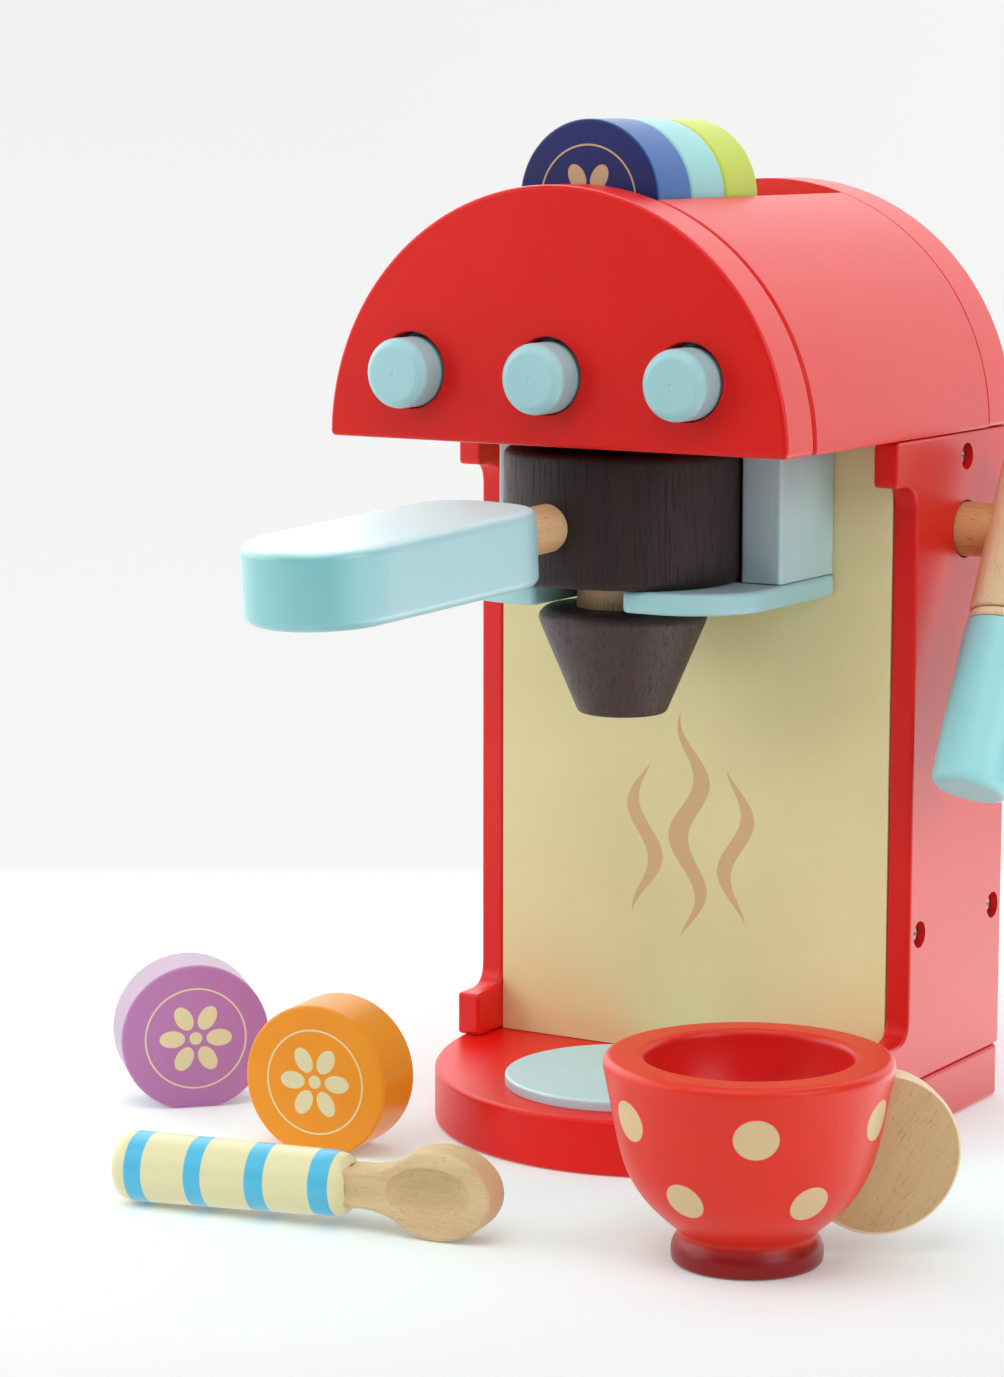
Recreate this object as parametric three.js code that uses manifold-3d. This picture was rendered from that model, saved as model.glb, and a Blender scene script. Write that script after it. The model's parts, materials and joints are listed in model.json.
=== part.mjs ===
// Wooden toy espresso machine, with the capsules, cup and spoon that belong to it.
// Millimetres, +Z up, +X to the machine's right, -Y to its front.
// The origin is the middle of the base plate's underside.
import * as THREE from 'three';
import { mergeVertices } from 'three/addons/utils/BufferGeometryUtils.js';
import Module from 'manifold-3d';

const wasm = await Module();
wasm.setup();

// Fits that every sub-part shares
const glueGap = 0.2;
const runningGap = 0.4;
const cutOverrun = 4;

// How finely round shapes are divided
const archSides = 36;
const roundSides = 32;
const smallSides = 16;
const cornerSides = 4;

// Base plate: square under the side panels, with a long half-oval nose in front
const baseReach = 76.9;
const baseHalfWidth = 68;
const baseThickness = 15;
const baseNoseLength = 76.5;
const boardEdgeRound = 1.2;

// Drip disc glued on the nose
const dripThickness = 2.9;
const dripEdgeRound = 0.7;
const dripFrontMargin = 8.5;
const dripRearMargin = 3.8;

// Side panels: a tab under the head, a foot on the base, and a recessed edge between them
const panelThickness = 7;
const panelDepth = 59.1;
const tabReach = 12.4;
const tabHeight = 12.3;
const footReach = 13;
const footHeight = 12.1;
const recessFillet = 6;

// Boards between the side panels
const frontPanelThickness = 12;
const backPanelThickness = 12;
const topBoardThickness = 12;

// Head: an arched box that is closed by two plates of the same outline
const headBottom = 191;
const headOverhang = 0.4;
const headRise = 67;
const headDepth = 135;
const frontPlateThickness = 15;
const rearPlateThickness = 15;
const vaultWall = 8;
const headFloorThickness = 6;

// Capsules and the slot and channel that hold a row of them
const capsuleRadius = 20.8;
const capsuleThickness = 18;
const capsuleFlatHalfWidth = 6.2;
const capsuleEdgeRound = 0.9;
const capsulePlay = 0.35;
const capsuleRowSetback = 3.5;
const slotSidePlay = 1.2;
const capsuleSeatDrop = 24.2;
const channelWall = 5;

// Push buttons, each on a stem with a coil spring behind its flange
const buttonSpacingShare = 0.604;
const buttonRowShift = -1.3;
const buttonHeight = 17.8;
const buttonRadius = 9.2;
const buttonProud = 8.8;
const buttonChamfer = 2;
const buttonChamferShare = 0.33;
const buttonFlangeWidth = 2.4;
const buttonFlangeThickness = 2.5;
const buttonHolePlay = 0.8;
const buttonSag = 0.5;
const buttonSkin = 7;
const stemRadius = 3.5;
const stemTail = 2;
const guideThickness = 6;
const springWire = 0.5;
const springPlay = 1.4;
const springTurns = 5;
const springWindingLength = 11.6;

// Holder: a forked plate that carries the filter, and a block with a round recess behind it
const forkBottom = 147.5;
const forkThickness = 5.8;
const forkHalfWidth = 44;
const forkReach = 61.9;
const forkCornerRadius = 22;
const forkSlotPlay = 0.9;
const blockHalfWidth = 43.5;
const blockReach = 30.9;
const recessPlay = 0.7;

// Filter: drum, dowel and handle, with a spindle through the fork down to the spout
const filterSetback = 97.1;
const drumRadius = 31.9;
const drumHeight = 35;
const drumEdgeRound = 1.8;
const spindleRadius = 12.3;
const spindleSocket = 6;
const spoutTopRadius = 22.8;
const spoutTipRadius = 11.7;
const spoutHeight = 28.8;
const spoutEdgeRound = 2.6;
const spoutShoulderShares = [0.25, 0.6];
const spoutGap = 1.4;
const spoutSocket = 8;
const filterDowelRadius = 6.3;
const filterDowelSocket = 8;
const handleSocket = 12;
const handleGap = 18.7;
const handleLength = 86.9;
const handleWidth = 39.8;
const handleHeight = 19.8;
const handleInnerCorner = 16.8;
const handleEdgeRound = 2.6;
const handleLift = 5.9;
const handleTurn = THREE.MathUtils.degToRad(-8.5);
const handleDroopDegrees = 3.7;

// Steam arm on the right side panel
const pegRadius = 7.4;
const pegSetback = 28.2;
const pegDrop = 26.7;
const pegTail = 2;
const retainerThickness = 3;
const retainerWidth = 4.6;
const armStandOff = 18.6;
const armRadius = 11;
const armTopLength = 24;
const armStickLength = 24;
const armRingThickness = 3.2;
const armRingRadius = 10.6;
const armRingRound = 1;
const armSleeveLength = 45.6;
const armSleeveRadius = 11.3;
const armEdgeRound = 2.2;
const armPegSocket = 8;
const armTenonRadius = 4;
const armTenonSocket = 9;
const armTilt = THREE.MathUtils.degToRad(-27.4);

// Screws in the side panels and under the base
const screwHeadRadius = 3.2;
const screwHeadHeight = 2;
const screwShankRadius = 1.6;
const screwLength = 16;
const counterboreDepth = 4;
const counterborePlay = 0.5;
const lowerScrewHeight = 56;
const upperScrewDrop = 6.9;
const baseScrewInset = 24;

// Loose capsules on the table in front of the machine
const purplePlace = new THREE.Vector3(-123, -57.6, 0);
const purpleTurn = THREE.MathUtils.degToRad(45);
const orangePlace = new THREE.Vector3(-61.6, -78.4, 0);
const orangeTurn = THREE.MathUtils.degToRad(7);

// Cup: a turned bowl on a flared foot, with half a disc as its handle
const cupPlace = new THREE.Vector3(83.2, -111.4, 0);
const cupHeight = 51.3;
const cupRimRadius = 35.6;
const cupWaistRadius = 16.8;
const cupWaistHeight = 7.8;
const cupFootRadius = 18.7;
const cupFootShare = 0.55;
const cupBowlShares = [
  [0.165, 0.063],
  [0.314, 0.135],
  [0.439, 0.186],
  [0.569, 0.265],
  [0.691, 0.376],
  [0.779, 0.516],
  [0.856, 0.67],
  [0.915, 0.81],
  [1, 1],
];
const cupMouthRadius = 25.6;
const cupMouthDepth = 31;
const cupRimRound = 2;
const cupRimShare = 0.33;
const cupHandleRadius = 19.7;
const cupHandleThickness = 8;
const cupHandleReach = 31.7;
const cupHandleHeight = 26;
const cupHandleTurn = THREE.MathUtils.degToRad(40);

// Spoon, lying on its side
const spoonPlace = new THREE.Vector3(-78.3, -148.8, 0);
const spoonTurn = THREE.MathUtils.degToRad(9.1);
const spoonButtRadius = 9.1;
const spoonNeckEndRadius = 8.1;
const spoonHandleLength = 65.2;
const spoonHandleRound = 3;
const spoonNeckHalfHeight = 5;
const spoonNeckHalfThickness = 4;
const spoonNeckTenon = 8;
const spoonBowlDistance = 89.6;
const spoonBowlHalfLength = 14.8;
const spoonBowlHalfHeight = 11.4;
const spoonBowlThickness = 10;
const spoonBowlRound = 2;
const spoonHollowHalfLength = 10.6;
const spoonHollowHalfHeight = 7.8;
const spoonHollowDepth = 6;

// Places that follow from the sizes above
const baseDepth = panelDepth + baseReach;
const headHalfWidth = baseHalfWidth + headOverhang;
const buttonSpacing = headHalfWidth * buttonSpacingShare;
const rearY = baseDepth / 2;
const baseFrontY = -baseDepth / 2;
const headFrontY = rearY - headDepth;
const recessY = rearY - panelDepth;
const dripRadius = (baseReach - dripFrontMargin - dripRearMargin) / 2;
const panelInnerX = baseHalfWidth - panelThickness;
const boardHalfWidth = panelInnerX - glueGap;
const boardBottom = baseThickness + glueGap;
const boardTop = headBottom - glueGap;
const vaultFrontY = headFrontY + frontPlateThickness;
const vaultRearY = rearY - rearPlateThickness;
const filterY = rearY - filterSetback;
const forkTop = forkBottom + forkThickness;
const capsuleSeat = headBottom + headRise - capsuleSeatDrop;
const capsuleFlatDrop = Math.sqrt(capsuleRadius ** 2 - capsuleFlatHalfWidth ** 2);
const slotHalfWidth = capsuleRadius + slotSidePlay;
const buttonZ = headBottom + buttonHeight;
const flangeFrontY = headFrontY + buttonSkin + glueGap;
const flangeRearY = flangeFrontY + buttonFlangeThickness;
const guideFrontY = flangeRearY + springWindingLength + 2 * glueGap;
const pegY = rearY - pegSetback;
const pegZ = headBottom - pegDrop;
const screwSeatX = baseHalfWidth - counterboreDepth;

// Finishes
const paint = (color, roughness) => new THREE.MeshStandardMaterial({ color, roughness, metalness: 0 });
const redPaint = paint(0xcc2a2a, 0.4);
const aquaPaint = paint(0xa9d5d8, 0.45);
const creamPaint = paint(0xd3cb95, 0.5);
const beech = paint(0xcfa878, 0.6);
const wenge = paint(0x3f3233, 0.6);
const plywood = paint(0xd8bf95, 0.7);
const steel = new THREE.MeshStandardMaterial({ color: 0x9a9a98, roughness: 0.35, metalness: 1 });

// Solids and meshes
function solidOf(geometry) {
  const bare = geometry.index ? geometry.toNonIndexed() : geometry.clone();
  bare.deleteAttribute('normal');
  bare.deleteAttribute('uv');
  const merged = mergeVertices(bare, glueGap / 1000);
  const corners = merged.index.array;
  const kept = [];
  for (let i = 0; i < corners.length; i += 3) {
    const [a, b, c] = [corners[i], corners[i + 1], corners[i + 2]];
    if (a !== b && b !== c && c !== a) kept.push(a, b, c);
  }
  return new wasm.Manifold(new wasm.Mesh({
    numProp: 3,
    vertProperties: merged.getAttribute('position').array,
    triVerts: new Uint32Array(kept),
  }));
}

function meshOf(name, solid, material) {
  const made = solid.getMesh();
  const geometry = new THREE.BufferGeometry();
  geometry.setAttribute('position', new THREE.BufferAttribute(made.vertProperties, 3));
  geometry.setIndex(new THREE.BufferAttribute(made.triVerts, 1));
  const faceted = geometry.toNonIndexed();
  faceted.computeVertexNormals();
  const mesh = new THREE.Mesh(faceted, material);
  mesh.name = name;
  return mesh;
}

// Points along part of an oval, from one turn to another, turns counted in half circles
function arc(x, y, halfWidth, halfHeight, from, to, steps) {
  const points = [];
  for (let i = 0; i <= steps; i += 1) {
    const turn = (from + (to - from) * i / steps) * Math.PI;
    points.push(new THREE.Vector2(x + halfWidth * Math.cos(turn), y + halfHeight * Math.sin(turn)));
  }
  return points;
}

const cornersOf = (pairs) => pairs.map(([x, y]) => new THREE.Vector2(x, y));

// Outlines are drawn in two directions and carried along the third
const directions = {
  x: new THREE.Matrix4().makeBasis(
    new THREE.Vector3(0, 1, 0),
    new THREE.Vector3(0, 0, 1),
    new THREE.Vector3(1, 0, 0),
  ),
  y: new THREE.Matrix4().makeBasis(
    new THREE.Vector3(1, 0, 0),
    new THREE.Vector3(0, 0, 1),
    new THREE.Vector3(0, -1, 0),
  ),
  z: new THREE.Matrix4(),
};

function carry(direction, outline, low, high, edgeRound = 0, edgeSteps = 1) {
  const geometry = new THREE.ExtrudeGeometry(new THREE.Shape(outline), {
    depth: high - low - 2 * edgeRound,
    bevelEnabled: edgeRound > 0,
    bevelThickness: edgeRound,
    bevelSize: edgeRound,
    bevelOffset: -edgeRound,
    bevelSegments: edgeSteps,
  });
  geometry.translate(0, 0, edgeRound);
  geometry.applyMatrix4(directions[direction]);
  if (direction === 'x') geometry.translate(low, 0, 0);
  if (direction === 'y') geometry.translate(0, high, 0);
  if (direction === 'z') geometry.translate(0, 0, low);
  return solidOf(geometry);
}

function box(low, high) {
  const size = new THREE.Vector3().subVectors(high, low);
  const middle = new THREE.Vector3().addVectors(low, high).multiplyScalar(0.5);
  const geometry = new THREE.BoxGeometry(size.x, size.y, size.z);
  geometry.translate(middle.x, middle.y, middle.z);
  return solidOf(geometry);
}

// A turned piece from [radius, height] pairs that start and end on its axis
const axisTurns = {
  x: new THREE.Matrix4().makeRotationZ(-Math.PI / 2),
  y: new THREE.Matrix4(),
  z: new THREE.Matrix4().makeRotationX(Math.PI / 2),
};

function turned(axis, profile, sides, place = new THREE.Vector3()) {
  const points = profile.map(([radius, height]) => new THREE.Vector2(radius, height));
  const geometry = new THREE.LatheGeometry(points, sides);
  geometry.applyMatrix4(axisTurns[axis]);
  geometry.translate(place.x, place.y, place.z);
  return solidOf(geometry);
}

function rod(axis, radius, low, high, place, sides = smallSides) {
  return turned(axis, [[0, low], [radius, low], [radius, high], [0, high]], sides, place);
}

// A rod whose two rims are rounded by a quarter circle
function softRod(axis, lowRadius, highRadius, low, high, rim, sides, place) {
  const profile = [[0, low]];
  const quarter = [0, 1 / 3, 2 / 3, 1].map((share) => share * Math.PI / 2);
  for (const turn of quarter) {
    profile.push([lowRadius - rim + rim * Math.sin(turn), low + rim - rim * Math.cos(turn)]);
  }
  for (const turn of quarter) {
    profile.push([highRadius - rim + rim * Math.cos(turn), high - rim + rim * Math.sin(turn)]);
  }
  profile.push([0, high]);
  return turned(axis, profile, sides, place);
}

// Base plate, its screws and the drip disc
function baseOutline() {
  const shoulderY = baseFrontY + baseNoseLength;
  return [
    ...arc(0, shoulderY, baseHalfWidth, baseNoseLength, 1, 2, archSides),
    ...cornersOf([[baseHalfWidth, rearY], [-baseHalfWidth, rearY]]),
  ];
}

function baseScrewPlaces() {
  const places = [];
  for (const side of [-1, 1]) {
    for (const y of [recessY + frontPanelThickness / 2, rearY - backPanelThickness / 2]) {
      places.push(new THREE.Vector3(side * (baseHalfWidth - baseScrewInset), y, counterboreDepth));
    }
  }
  return places;
}

function basePlate() {
  let plate = carry('z', baseOutline(), 0, baseThickness, boardEdgeRound);
  for (const place of baseScrewPlaces()) {
    plate = plate.subtract(rod('z', screwHeadRadius + counterborePlay, -counterboreDepth - cutOverrun, 0, place));
    plate = plate.subtract(rod('z', screwShankRadius + runningGap, -cutOverrun, baseThickness + cutOverrun, place));
  }
  return meshOf('base_plate', plate, redPaint);
}

function dripDisc() {
  const place = new THREE.Vector3(0, baseFrontY + dripFrontMargin + dripRadius, baseThickness);
  const profile = [
    [0, 0],
    [dripRadius, 0],
    [dripRadius, dripThickness - dripEdgeRound],
    [dripRadius - dripEdgeRound, dripThickness],
    [0, dripThickness],
  ];
  return meshOf('drip_disc', turned('z', profile, archSides, place), aquaPaint);
}

// A screw whose head rests on the plane through its place, with its shank along the axis
function screw(name, axis, towards, place) {
  const head = towards < 0 ? [0, screwHeadHeight] : [-screwHeadHeight, 0];
  const shank = towards < 0 ? [-screwLength, 0] : [0, screwLength];
  const made = rod(axis, screwHeadRadius, ...head, place).add(rod(axis, screwShankRadius, ...shank, place));
  return meshOf(name, made, steel);
}

function baseScrews() {
  return baseScrewPlaces().map((place, i) => screw('base_screw_' + (i + 1), 'z', 1, place));
}

// Side panels
function panelOutline() {
  const tabBottom = boardTop - tabHeight;
  const footTop = boardBottom + footHeight;
  const filletY = recessY - recessFillet;
  return [
    ...cornersOf([
      [recessY - footReach, footTop],
      [recessY - footReach, boardBottom],
      [rearY, boardBottom],
      [rearY, boardTop],
      [recessY - tabReach, boardTop],
      [recessY - tabReach, tabBottom],
    ]),
    ...arc(filletY, tabBottom - recessFillet, recessFillet, recessFillet, 0.5, 0, cornerSides),
    ...arc(filletY, footTop + recessFillet, recessFillet, recessFillet, 0, -0.5, cornerSides),
  ];
}

function panelScrewPlaces(side) {
  const x = side * screwSeatX;
  return [
    new THREE.Vector3(x, recessY + frontPanelThickness / 2, lowerScrewHeight),
    new THREE.Vector3(x, rearY - backPanelThickness / 2, lowerScrewHeight),
    new THREE.Vector3(x, pegY, headBottom - upperScrewDrop),
  ];
}

// The hole that a side screw needs: a counterbore in the panel, then a pilot hole inwards
function sideScrewHole(side, place) {
  const outward = [0, counterboreDepth + cutOverrun];
  const inward = [-screwLength - cutOverrun, cutOverrun];
  const bore = side > 0 ? outward : outward.map((v) => -v).reverse();
  const pilot = side > 0 ? inward : inward.map((v) => -v).reverse();
  return rod('x', screwHeadRadius + counterborePlay, ...bore, place)
    .add(rod('x', screwShankRadius + runningGap, ...pilot, place));
}

function withoutSideScrews(solid) {
  let left = solid;
  for (const side of [-1, 1]) {
    for (const place of panelScrewPlaces(side)) left = left.subtract(sideScrewHole(side, place));
  }
  return left;
}

function withoutBaseScrews(solid) {
  let left = solid;
  for (const place of baseScrewPlaces()) {
    left = left.subtract(rod('z', screwShankRadius + runningGap, 0, screwLength + cutOverrun, place));
  }
  return left;
}

function sidePanel(side) {
  const faces = [side * panelInnerX, side * baseHalfWidth].sort((a, b) => a - b);
  let panel = carry('x', panelOutline(), ...faces, boardEdgeRound / 2);
  panel = withoutSideScrews(panel);
  if (side > 0) {
    const place = new THREE.Vector3(0, pegY, pegZ);
    panel = panel.subtract(rod('x', pegRadius + runningGap, 0, baseHalfWidth + cutOverrun, place, roundSides));
  }
  return meshOf(side > 0 ? 'right_side_panel' : 'left_side_panel', panel, redPaint);
}

function sideScrews() {
  const made = [];
  for (const [side, word] of [[-1, 'left'], [1, 'right']]) {
    panelScrewPlaces(side).forEach((place, i) => {
      made.push(screw(word + '_screw_' + (i + 1), 'x', -side, place));
    });
  }
  return made;
}

// Boards between the side panels
function frontPanel() {
  const low = new THREE.Vector3(-boardHalfWidth, recessY, boardBottom);
  const high = new THREE.Vector3(boardHalfWidth, recessY + frontPanelThickness, boardTop);
  return meshOf('front_panel', withoutBaseScrews(withoutSideScrews(box(low, high))), creamPaint);
}

function backPanel() {
  const low = new THREE.Vector3(-boardHalfWidth, rearY - backPanelThickness, boardBottom);
  const high = new THREE.Vector3(boardHalfWidth, rearY, boardTop);
  return meshOf('back_panel', withoutBaseScrews(withoutSideScrews(box(low, high))), redPaint);
}

function topBoard() {
  const front = recessY + frontPanelThickness + glueGap;
  const rear = rearY - backPanelThickness - glueGap;
  const low = new THREE.Vector3(-boardHalfWidth, front, boardTop - topBoardThickness);
  const high = new THREE.Vector3(boardHalfWidth, rear, boardTop);
  return meshOf('top_board', withoutSideScrews(box(low, high)), plywood);
}

// Head
const archShare = (height, rise) => Math.sqrt(1 - (height / rise) ** 2);

const archOutline = (halfWidth, rise) => arc(0, headBottom, halfWidth, rise, 0, 1, archSides);

function buttonPlaces() {
  return [
    ['left', buttonRowShift - buttonSpacing],
    ['centre', buttonRowShift],
    ['right', buttonRowShift + buttonSpacing],
  ];
}

function headFrontPlate() {
  const outline = archOutline(headHalfWidth, headRise);
  let plate = carry('y', outline, headFrontY, vaultFrontY, boardEdgeRound);
  const holeRadius = buttonRadius + buttonHolePlay;
  const pocketRadius = buttonRadius + buttonFlangeWidth + buttonHolePlay;
  const pocketY = headFrontY + buttonSkin;
  for (const [, x] of buttonPlaces()) {
    const hole = new THREE.Vector3(x, 0, buttonZ + buttonSag);
    const pocket = new THREE.Vector3(x, 0, buttonZ);
    plate = plate.subtract(rod('y', holeRadius, headFrontY - cutOverrun, vaultFrontY + cutOverrun, hole, roundSides));
    plate = plate.subtract(rod('y', pocketRadius, pocketY, vaultFrontY + cutOverrun, pocket, roundSides));
  }
  return meshOf('head_front_plate', plate, redPaint);
}

// The vault is two curved walls, because the slot runs from plate to plate
function headWall(side) {
  const low = vaultFrontY + glueGap;
  const high = vaultRearY - glueGap;
  const slotShare = Math.acos(slotHalfWidth / headHalfWidth) / Math.PI;
  const insideHalfWidth = headHalfWidth - vaultWall;
  const insideRise = headRise - vaultWall;
  const insideShare = Math.acos(slotHalfWidth / insideHalfWidth) / Math.PI;
  const outline = [
    ...arc(0, headBottom, headHalfWidth, headRise, 0, slotShare, roundSides / 2),
    ...arc(0, headBottom, insideHalfWidth, insideRise, insideShare, 0, roundSides / 2),
  ];
  const wall = carry('y', outline, low, high);
  return side > 0 ? meshOf('head_right_wall', wall, redPaint)
    : meshOf('head_left_wall', wall.mirror([1, 0, 0]), redPaint);
}

function headRearPlate() {
  const outline = archOutline(headHalfWidth, headRise);
  return meshOf('head_rear_plate', carry('y', outline, vaultRearY, rearY, boardEdgeRound), redPaint);
}

function headFloor() {
  const halfWidth = (headHalfWidth - vaultWall) * archShare(headFloorThickness, headRise - vaultWall) - glueGap;
  const low = new THREE.Vector3(-halfWidth, vaultFrontY + glueGap, headBottom);
  const high = new THREE.Vector3(halfWidth, vaultRearY - glueGap, headBottom + headFloorThickness);
  return meshOf('head_floor', box(low, high), redPaint);
}

// A channel under the slot, in which the capsules stand
function capsuleChannel() {
  const outer = slotHalfWidth + channelWall;
  const vaultInside = headBottom + (headRise - vaultWall) * archShare(outer, headHalfWidth - vaultWall);
  const railTop = vaultInside - 2 * glueGap;
  const outline = cornersOf([
    [-outer, capsuleSeat - channelWall],
    [outer, capsuleSeat - channelWall],
    [outer, railTop],
    [slotHalfWidth, railTop],
    [slotHalfWidth, capsuleSeat],
    [-slotHalfWidth, capsuleSeat],
    [-slotHalfWidth, railTop],
    [-outer, railTop],
  ]);
  const channel = carry('y', outline, vaultFrontY + glueGap, vaultRearY - glueGap);
  return meshOf('capsule_channel', channel, plywood);
}

// Push buttons, springs and the board that guides the stems
function buttonGuide() {
  const low = headFloorThickness + glueGap;
  const high = buttonHeight + buttonRadius + stemRadius;
  const halfWidth = headHalfWidth - vaultWall - glueGap;
  const rise = headRise - vaultWall - glueGap;
  const [lowShare, highShare] = [low, high].map((height) => Math.asin(height / rise) / Math.PI);
  const outline = [
    ...arc(0, headBottom, halfWidth, rise, lowShare, highShare, cornerSides),
    ...arc(0, headBottom, halfWidth, rise, 1 - highShare, 1 - lowShare, cornerSides),
  ];
  let guide = carry('y', outline, guideFrontY, guideFrontY + guideThickness);
  for (const [, x] of buttonPlaces()) {
    const place = new THREE.Vector3(x, guideFrontY, buttonZ);
    guide = guide.subtract(rod('y', stemRadius + runningGap, -cutOverrun, guideThickness + cutOverrun, place));
  }
  return meshOf('button_guide', guide, plywood);
}

function pushButton(word, x) {
  const tip = headFrontY - buttonProud;
  const flangeRadius = buttonRadius + buttonFlangeWidth;
  const stemEnd = guideFrontY + guideThickness + stemTail;
  const profile = [
    [0, tip],
    [buttonRadius - buttonChamfer, tip],
    [buttonRadius - buttonChamfer * buttonChamferShare, tip + buttonChamfer * buttonChamferShare],
    [buttonRadius, tip + buttonChamfer],
    [buttonRadius, flangeFrontY],
    [flangeRadius, flangeFrontY],
    [flangeRadius, flangeRearY],
    [stemRadius, flangeRearY],
    [stemRadius, stemEnd],
    [0, stemEnd],
  ];
  return meshOf('button_' + word, turned('y', profile, roundSides, new THREE.Vector3(x, 0, buttonZ)), aquaPaint);
}

// A point on the spring's wire, whose end turns lie flat, at a share of its length
function springPoint(share) {
  const radius = stemRadius + springPlay + springWire;
  const turn = share * springTurns * 2 * Math.PI;
  const travelled = springWindingLength - 2 * springWire;
  return new THREE.Vector3(radius * Math.cos(turn), springWire + travelled * share, radius * Math.sin(turn));
}

class SpringWire extends THREE.Curve {
  getPoint(share, target = new THREE.Vector3()) {
    return target.copy(springPoint(share));
  }
}

// The least gap between one turn of the wire and the next, measured on points
function springGap(steps) {
  let least = Infinity;
  for (let i = 0; i < steps; i += 1) {
    for (let j = i + 1; j <= steps; j += 1) {
      if ((j - i) * springTurns * 2 < steps) continue;
      least = Math.min(least, springPoint(i / steps).distanceTo(springPoint(j / steps)));
    }
  }
  return least - 2 * springWire;
}

function buttonSpring(word, x) {
  const wireSides = 5;
  const turnSteps = 8;
  const section = new THREE.Shape(arc(0, 0, springWire, springWire, 0, 2 - 2 / wireSides, wireSides - 1));
  const geometry = new THREE.ExtrudeGeometry(section, {
    steps: springTurns * turnSteps,
    bevelEnabled: false,
    extrudePath: new SpringWire(),
  });
  geometry.translate(x, flangeRearY + glueGap, buttonZ);
  return meshOf('spring_' + word, solidOf(geometry), steel);
}

// Holder under the head
function forkOutline() {
  const slotHalf = spindleRadius + forkSlotPlay;
  const front = recessY - forkReach;
  const rear = recessY - glueGap;
  const corner = forkCornerRadius;
  return [
    ...cornersOf([[forkHalfWidth, rear], [-forkHalfWidth, rear]]),
    ...arc(corner - forkHalfWidth, front + corner, corner, corner, 1, 1.5, smallSides / 2),
    ...cornersOf([[-slotHalf, front]]),
    ...arc(0, filterY, slotHalf, slotHalf, 1, 0, smallSides),
    ...cornersOf([[slotHalf, front]]),
    ...arc(forkHalfWidth - corner, front + corner, corner, corner, 1.5, 2, smallSides / 2),
  ];
}

function forkPlate() {
  const plate = carry('z', forkOutline(), forkBottom, forkTop, boardEdgeRound);
  return meshOf('fork_plate', plate, aquaPaint);
}

function holderBlock() {
  const front = recessY - blockReach;
  const rear = recessY - glueGap;
  const outline = cornersOf([
    [-blockHalfWidth, front],
    [blockHalfWidth, front],
    [blockHalfWidth, rear],
    [-blockHalfWidth, rear],
  ]);
  const block = carry('z', outline, forkTop + glueGap, boardTop, boardEdgeRound / 2);
  const place = new THREE.Vector3(0, filterY, 0);
  const recess = rod('z', drumRadius + recessPlay, forkBottom, headBottom + cutOverrun, place, archSides);
  return meshOf('holder_block', block.subtract(recess), aquaPaint);
}

// Filter that swings about its spindle
const drumBottom = forkTop + glueGap;
const drumTop = drumBottom + drumHeight;
const handleZ = drumBottom + handleLift + handleHeight / 2;

// The hole in the drum slopes with the dowel and the handle
function dowelHole() {
  return rod('y', filterDowelRadius + glueGap, -cutOverrun, filterDowelSocket)
    .rotate([handleDroopDegrees, 0, 0])
    .translate([0, -drumRadius, handleZ]);
}

function drum() {
  const low = drumBottom - cutOverrun;
  const socket = rod('z', spindleRadius + runningGap, low, drumBottom + spindleSocket, undefined, roundSides);
  const made = softRod('z', drumRadius, drumRadius, drumBottom, drumTop, drumEdgeRound, archSides)
    .subtract(socket)
    .subtract(dowelHole());
  return meshOf('filter_drum', made, wenge);
}

function filterDowel() {
  const outer = glueGap - handleGap - handleSocket;
  return meshOf('filter_dowel', rod('y', filterDowelRadius, outer, filterDowelSocket - glueGap), beech);
}

function handleOutline() {
  const half = handleWidth / 2;
  const corner = handleInnerCorner;
  const outer = -handleGap - handleLength;
  return [
    ...arc(half - corner, -handleGap - corner, corner, corner, 0, 0.5, cornerSides),
    ...arc(corner - half, -handleGap - corner, corner, corner, 0.5, 1, cornerSides),
    ...arc(0, outer + half, half, half, 1, 2, smallSides),
  ];
}

function filterHandle() {
  const half = handleHeight / 2;
  const bar = carry('z', handleOutline(), -half, half, handleEdgeRound, 2);
  const inner = -handleGap - handleSocket;
  const socket = rod('y', filterDowelRadius + glueGap, inner, cutOverrun - handleGap);
  return meshOf('filter_handle', bar.subtract(socket), aquaPaint);
}

function filter() {
  const sloping = new THREE.Group();
  sloping.position.set(0, -drumRadius, handleZ);
  sloping.rotation.x = THREE.MathUtils.degToRad(handleDroopDegrees);
  sloping.add(filterDowel(), filterHandle());
  const group = new THREE.Group();
  group.position.set(0, filterY, 0);
  group.rotation.z = handleTurn;
  group.add(drum(), sloping);
  return group;
}

// Spout and spindle, which slide out of the fork with the filter
function spout() {
  const top = forkBottom - spoutGap;
  const bottom = top - spoutHeight;
  const shoulder = top - spoutEdgeRound;
  const [inset, climb] = spoutShoulderShares.map((share) => share * spoutEdgeRound);
  const profile = [
    [0, bottom],
    [spoutTipRadius, bottom],
    [spoutTopRadius, shoulder],
    [spoutTopRadius - inset, shoulder + climb],
    [spoutTopRadius - spoutEdgeRound, top],
    [0, top],
  ];
  const place = new THREE.Vector3(0, filterY, 0);
  const socket = rod('z', spindleRadius + glueGap, top - spoutSocket, top + cutOverrun, place, roundSides);
  return meshOf('spout_cone', turned('z', profile, roundSides, place).subtract(socket), wenge);
}

function spindle() {
  const low = forkBottom - spoutGap - spoutSocket + glueGap;
  const high = drumBottom + spindleSocket - glueGap;
  return meshOf('spindle', rod('z', spindleRadius, low, high, new THREE.Vector3(0, filterY, 0), roundSides), beech);
}

// Steam arm: it turns on its peg, which a retainer holds inside the panel
function armPeg() {
  const low = panelInnerX - glueGap - retainerThickness - pegTail;
  const high = baseHalfWidth + armStandOff - armRadius + armPegSocket;
  const place = new THREE.Vector3(0, 0, 0);
  return meshOf('arm_peg', rod('x', pegRadius, low, high, place, roundSides), beech);
}

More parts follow.
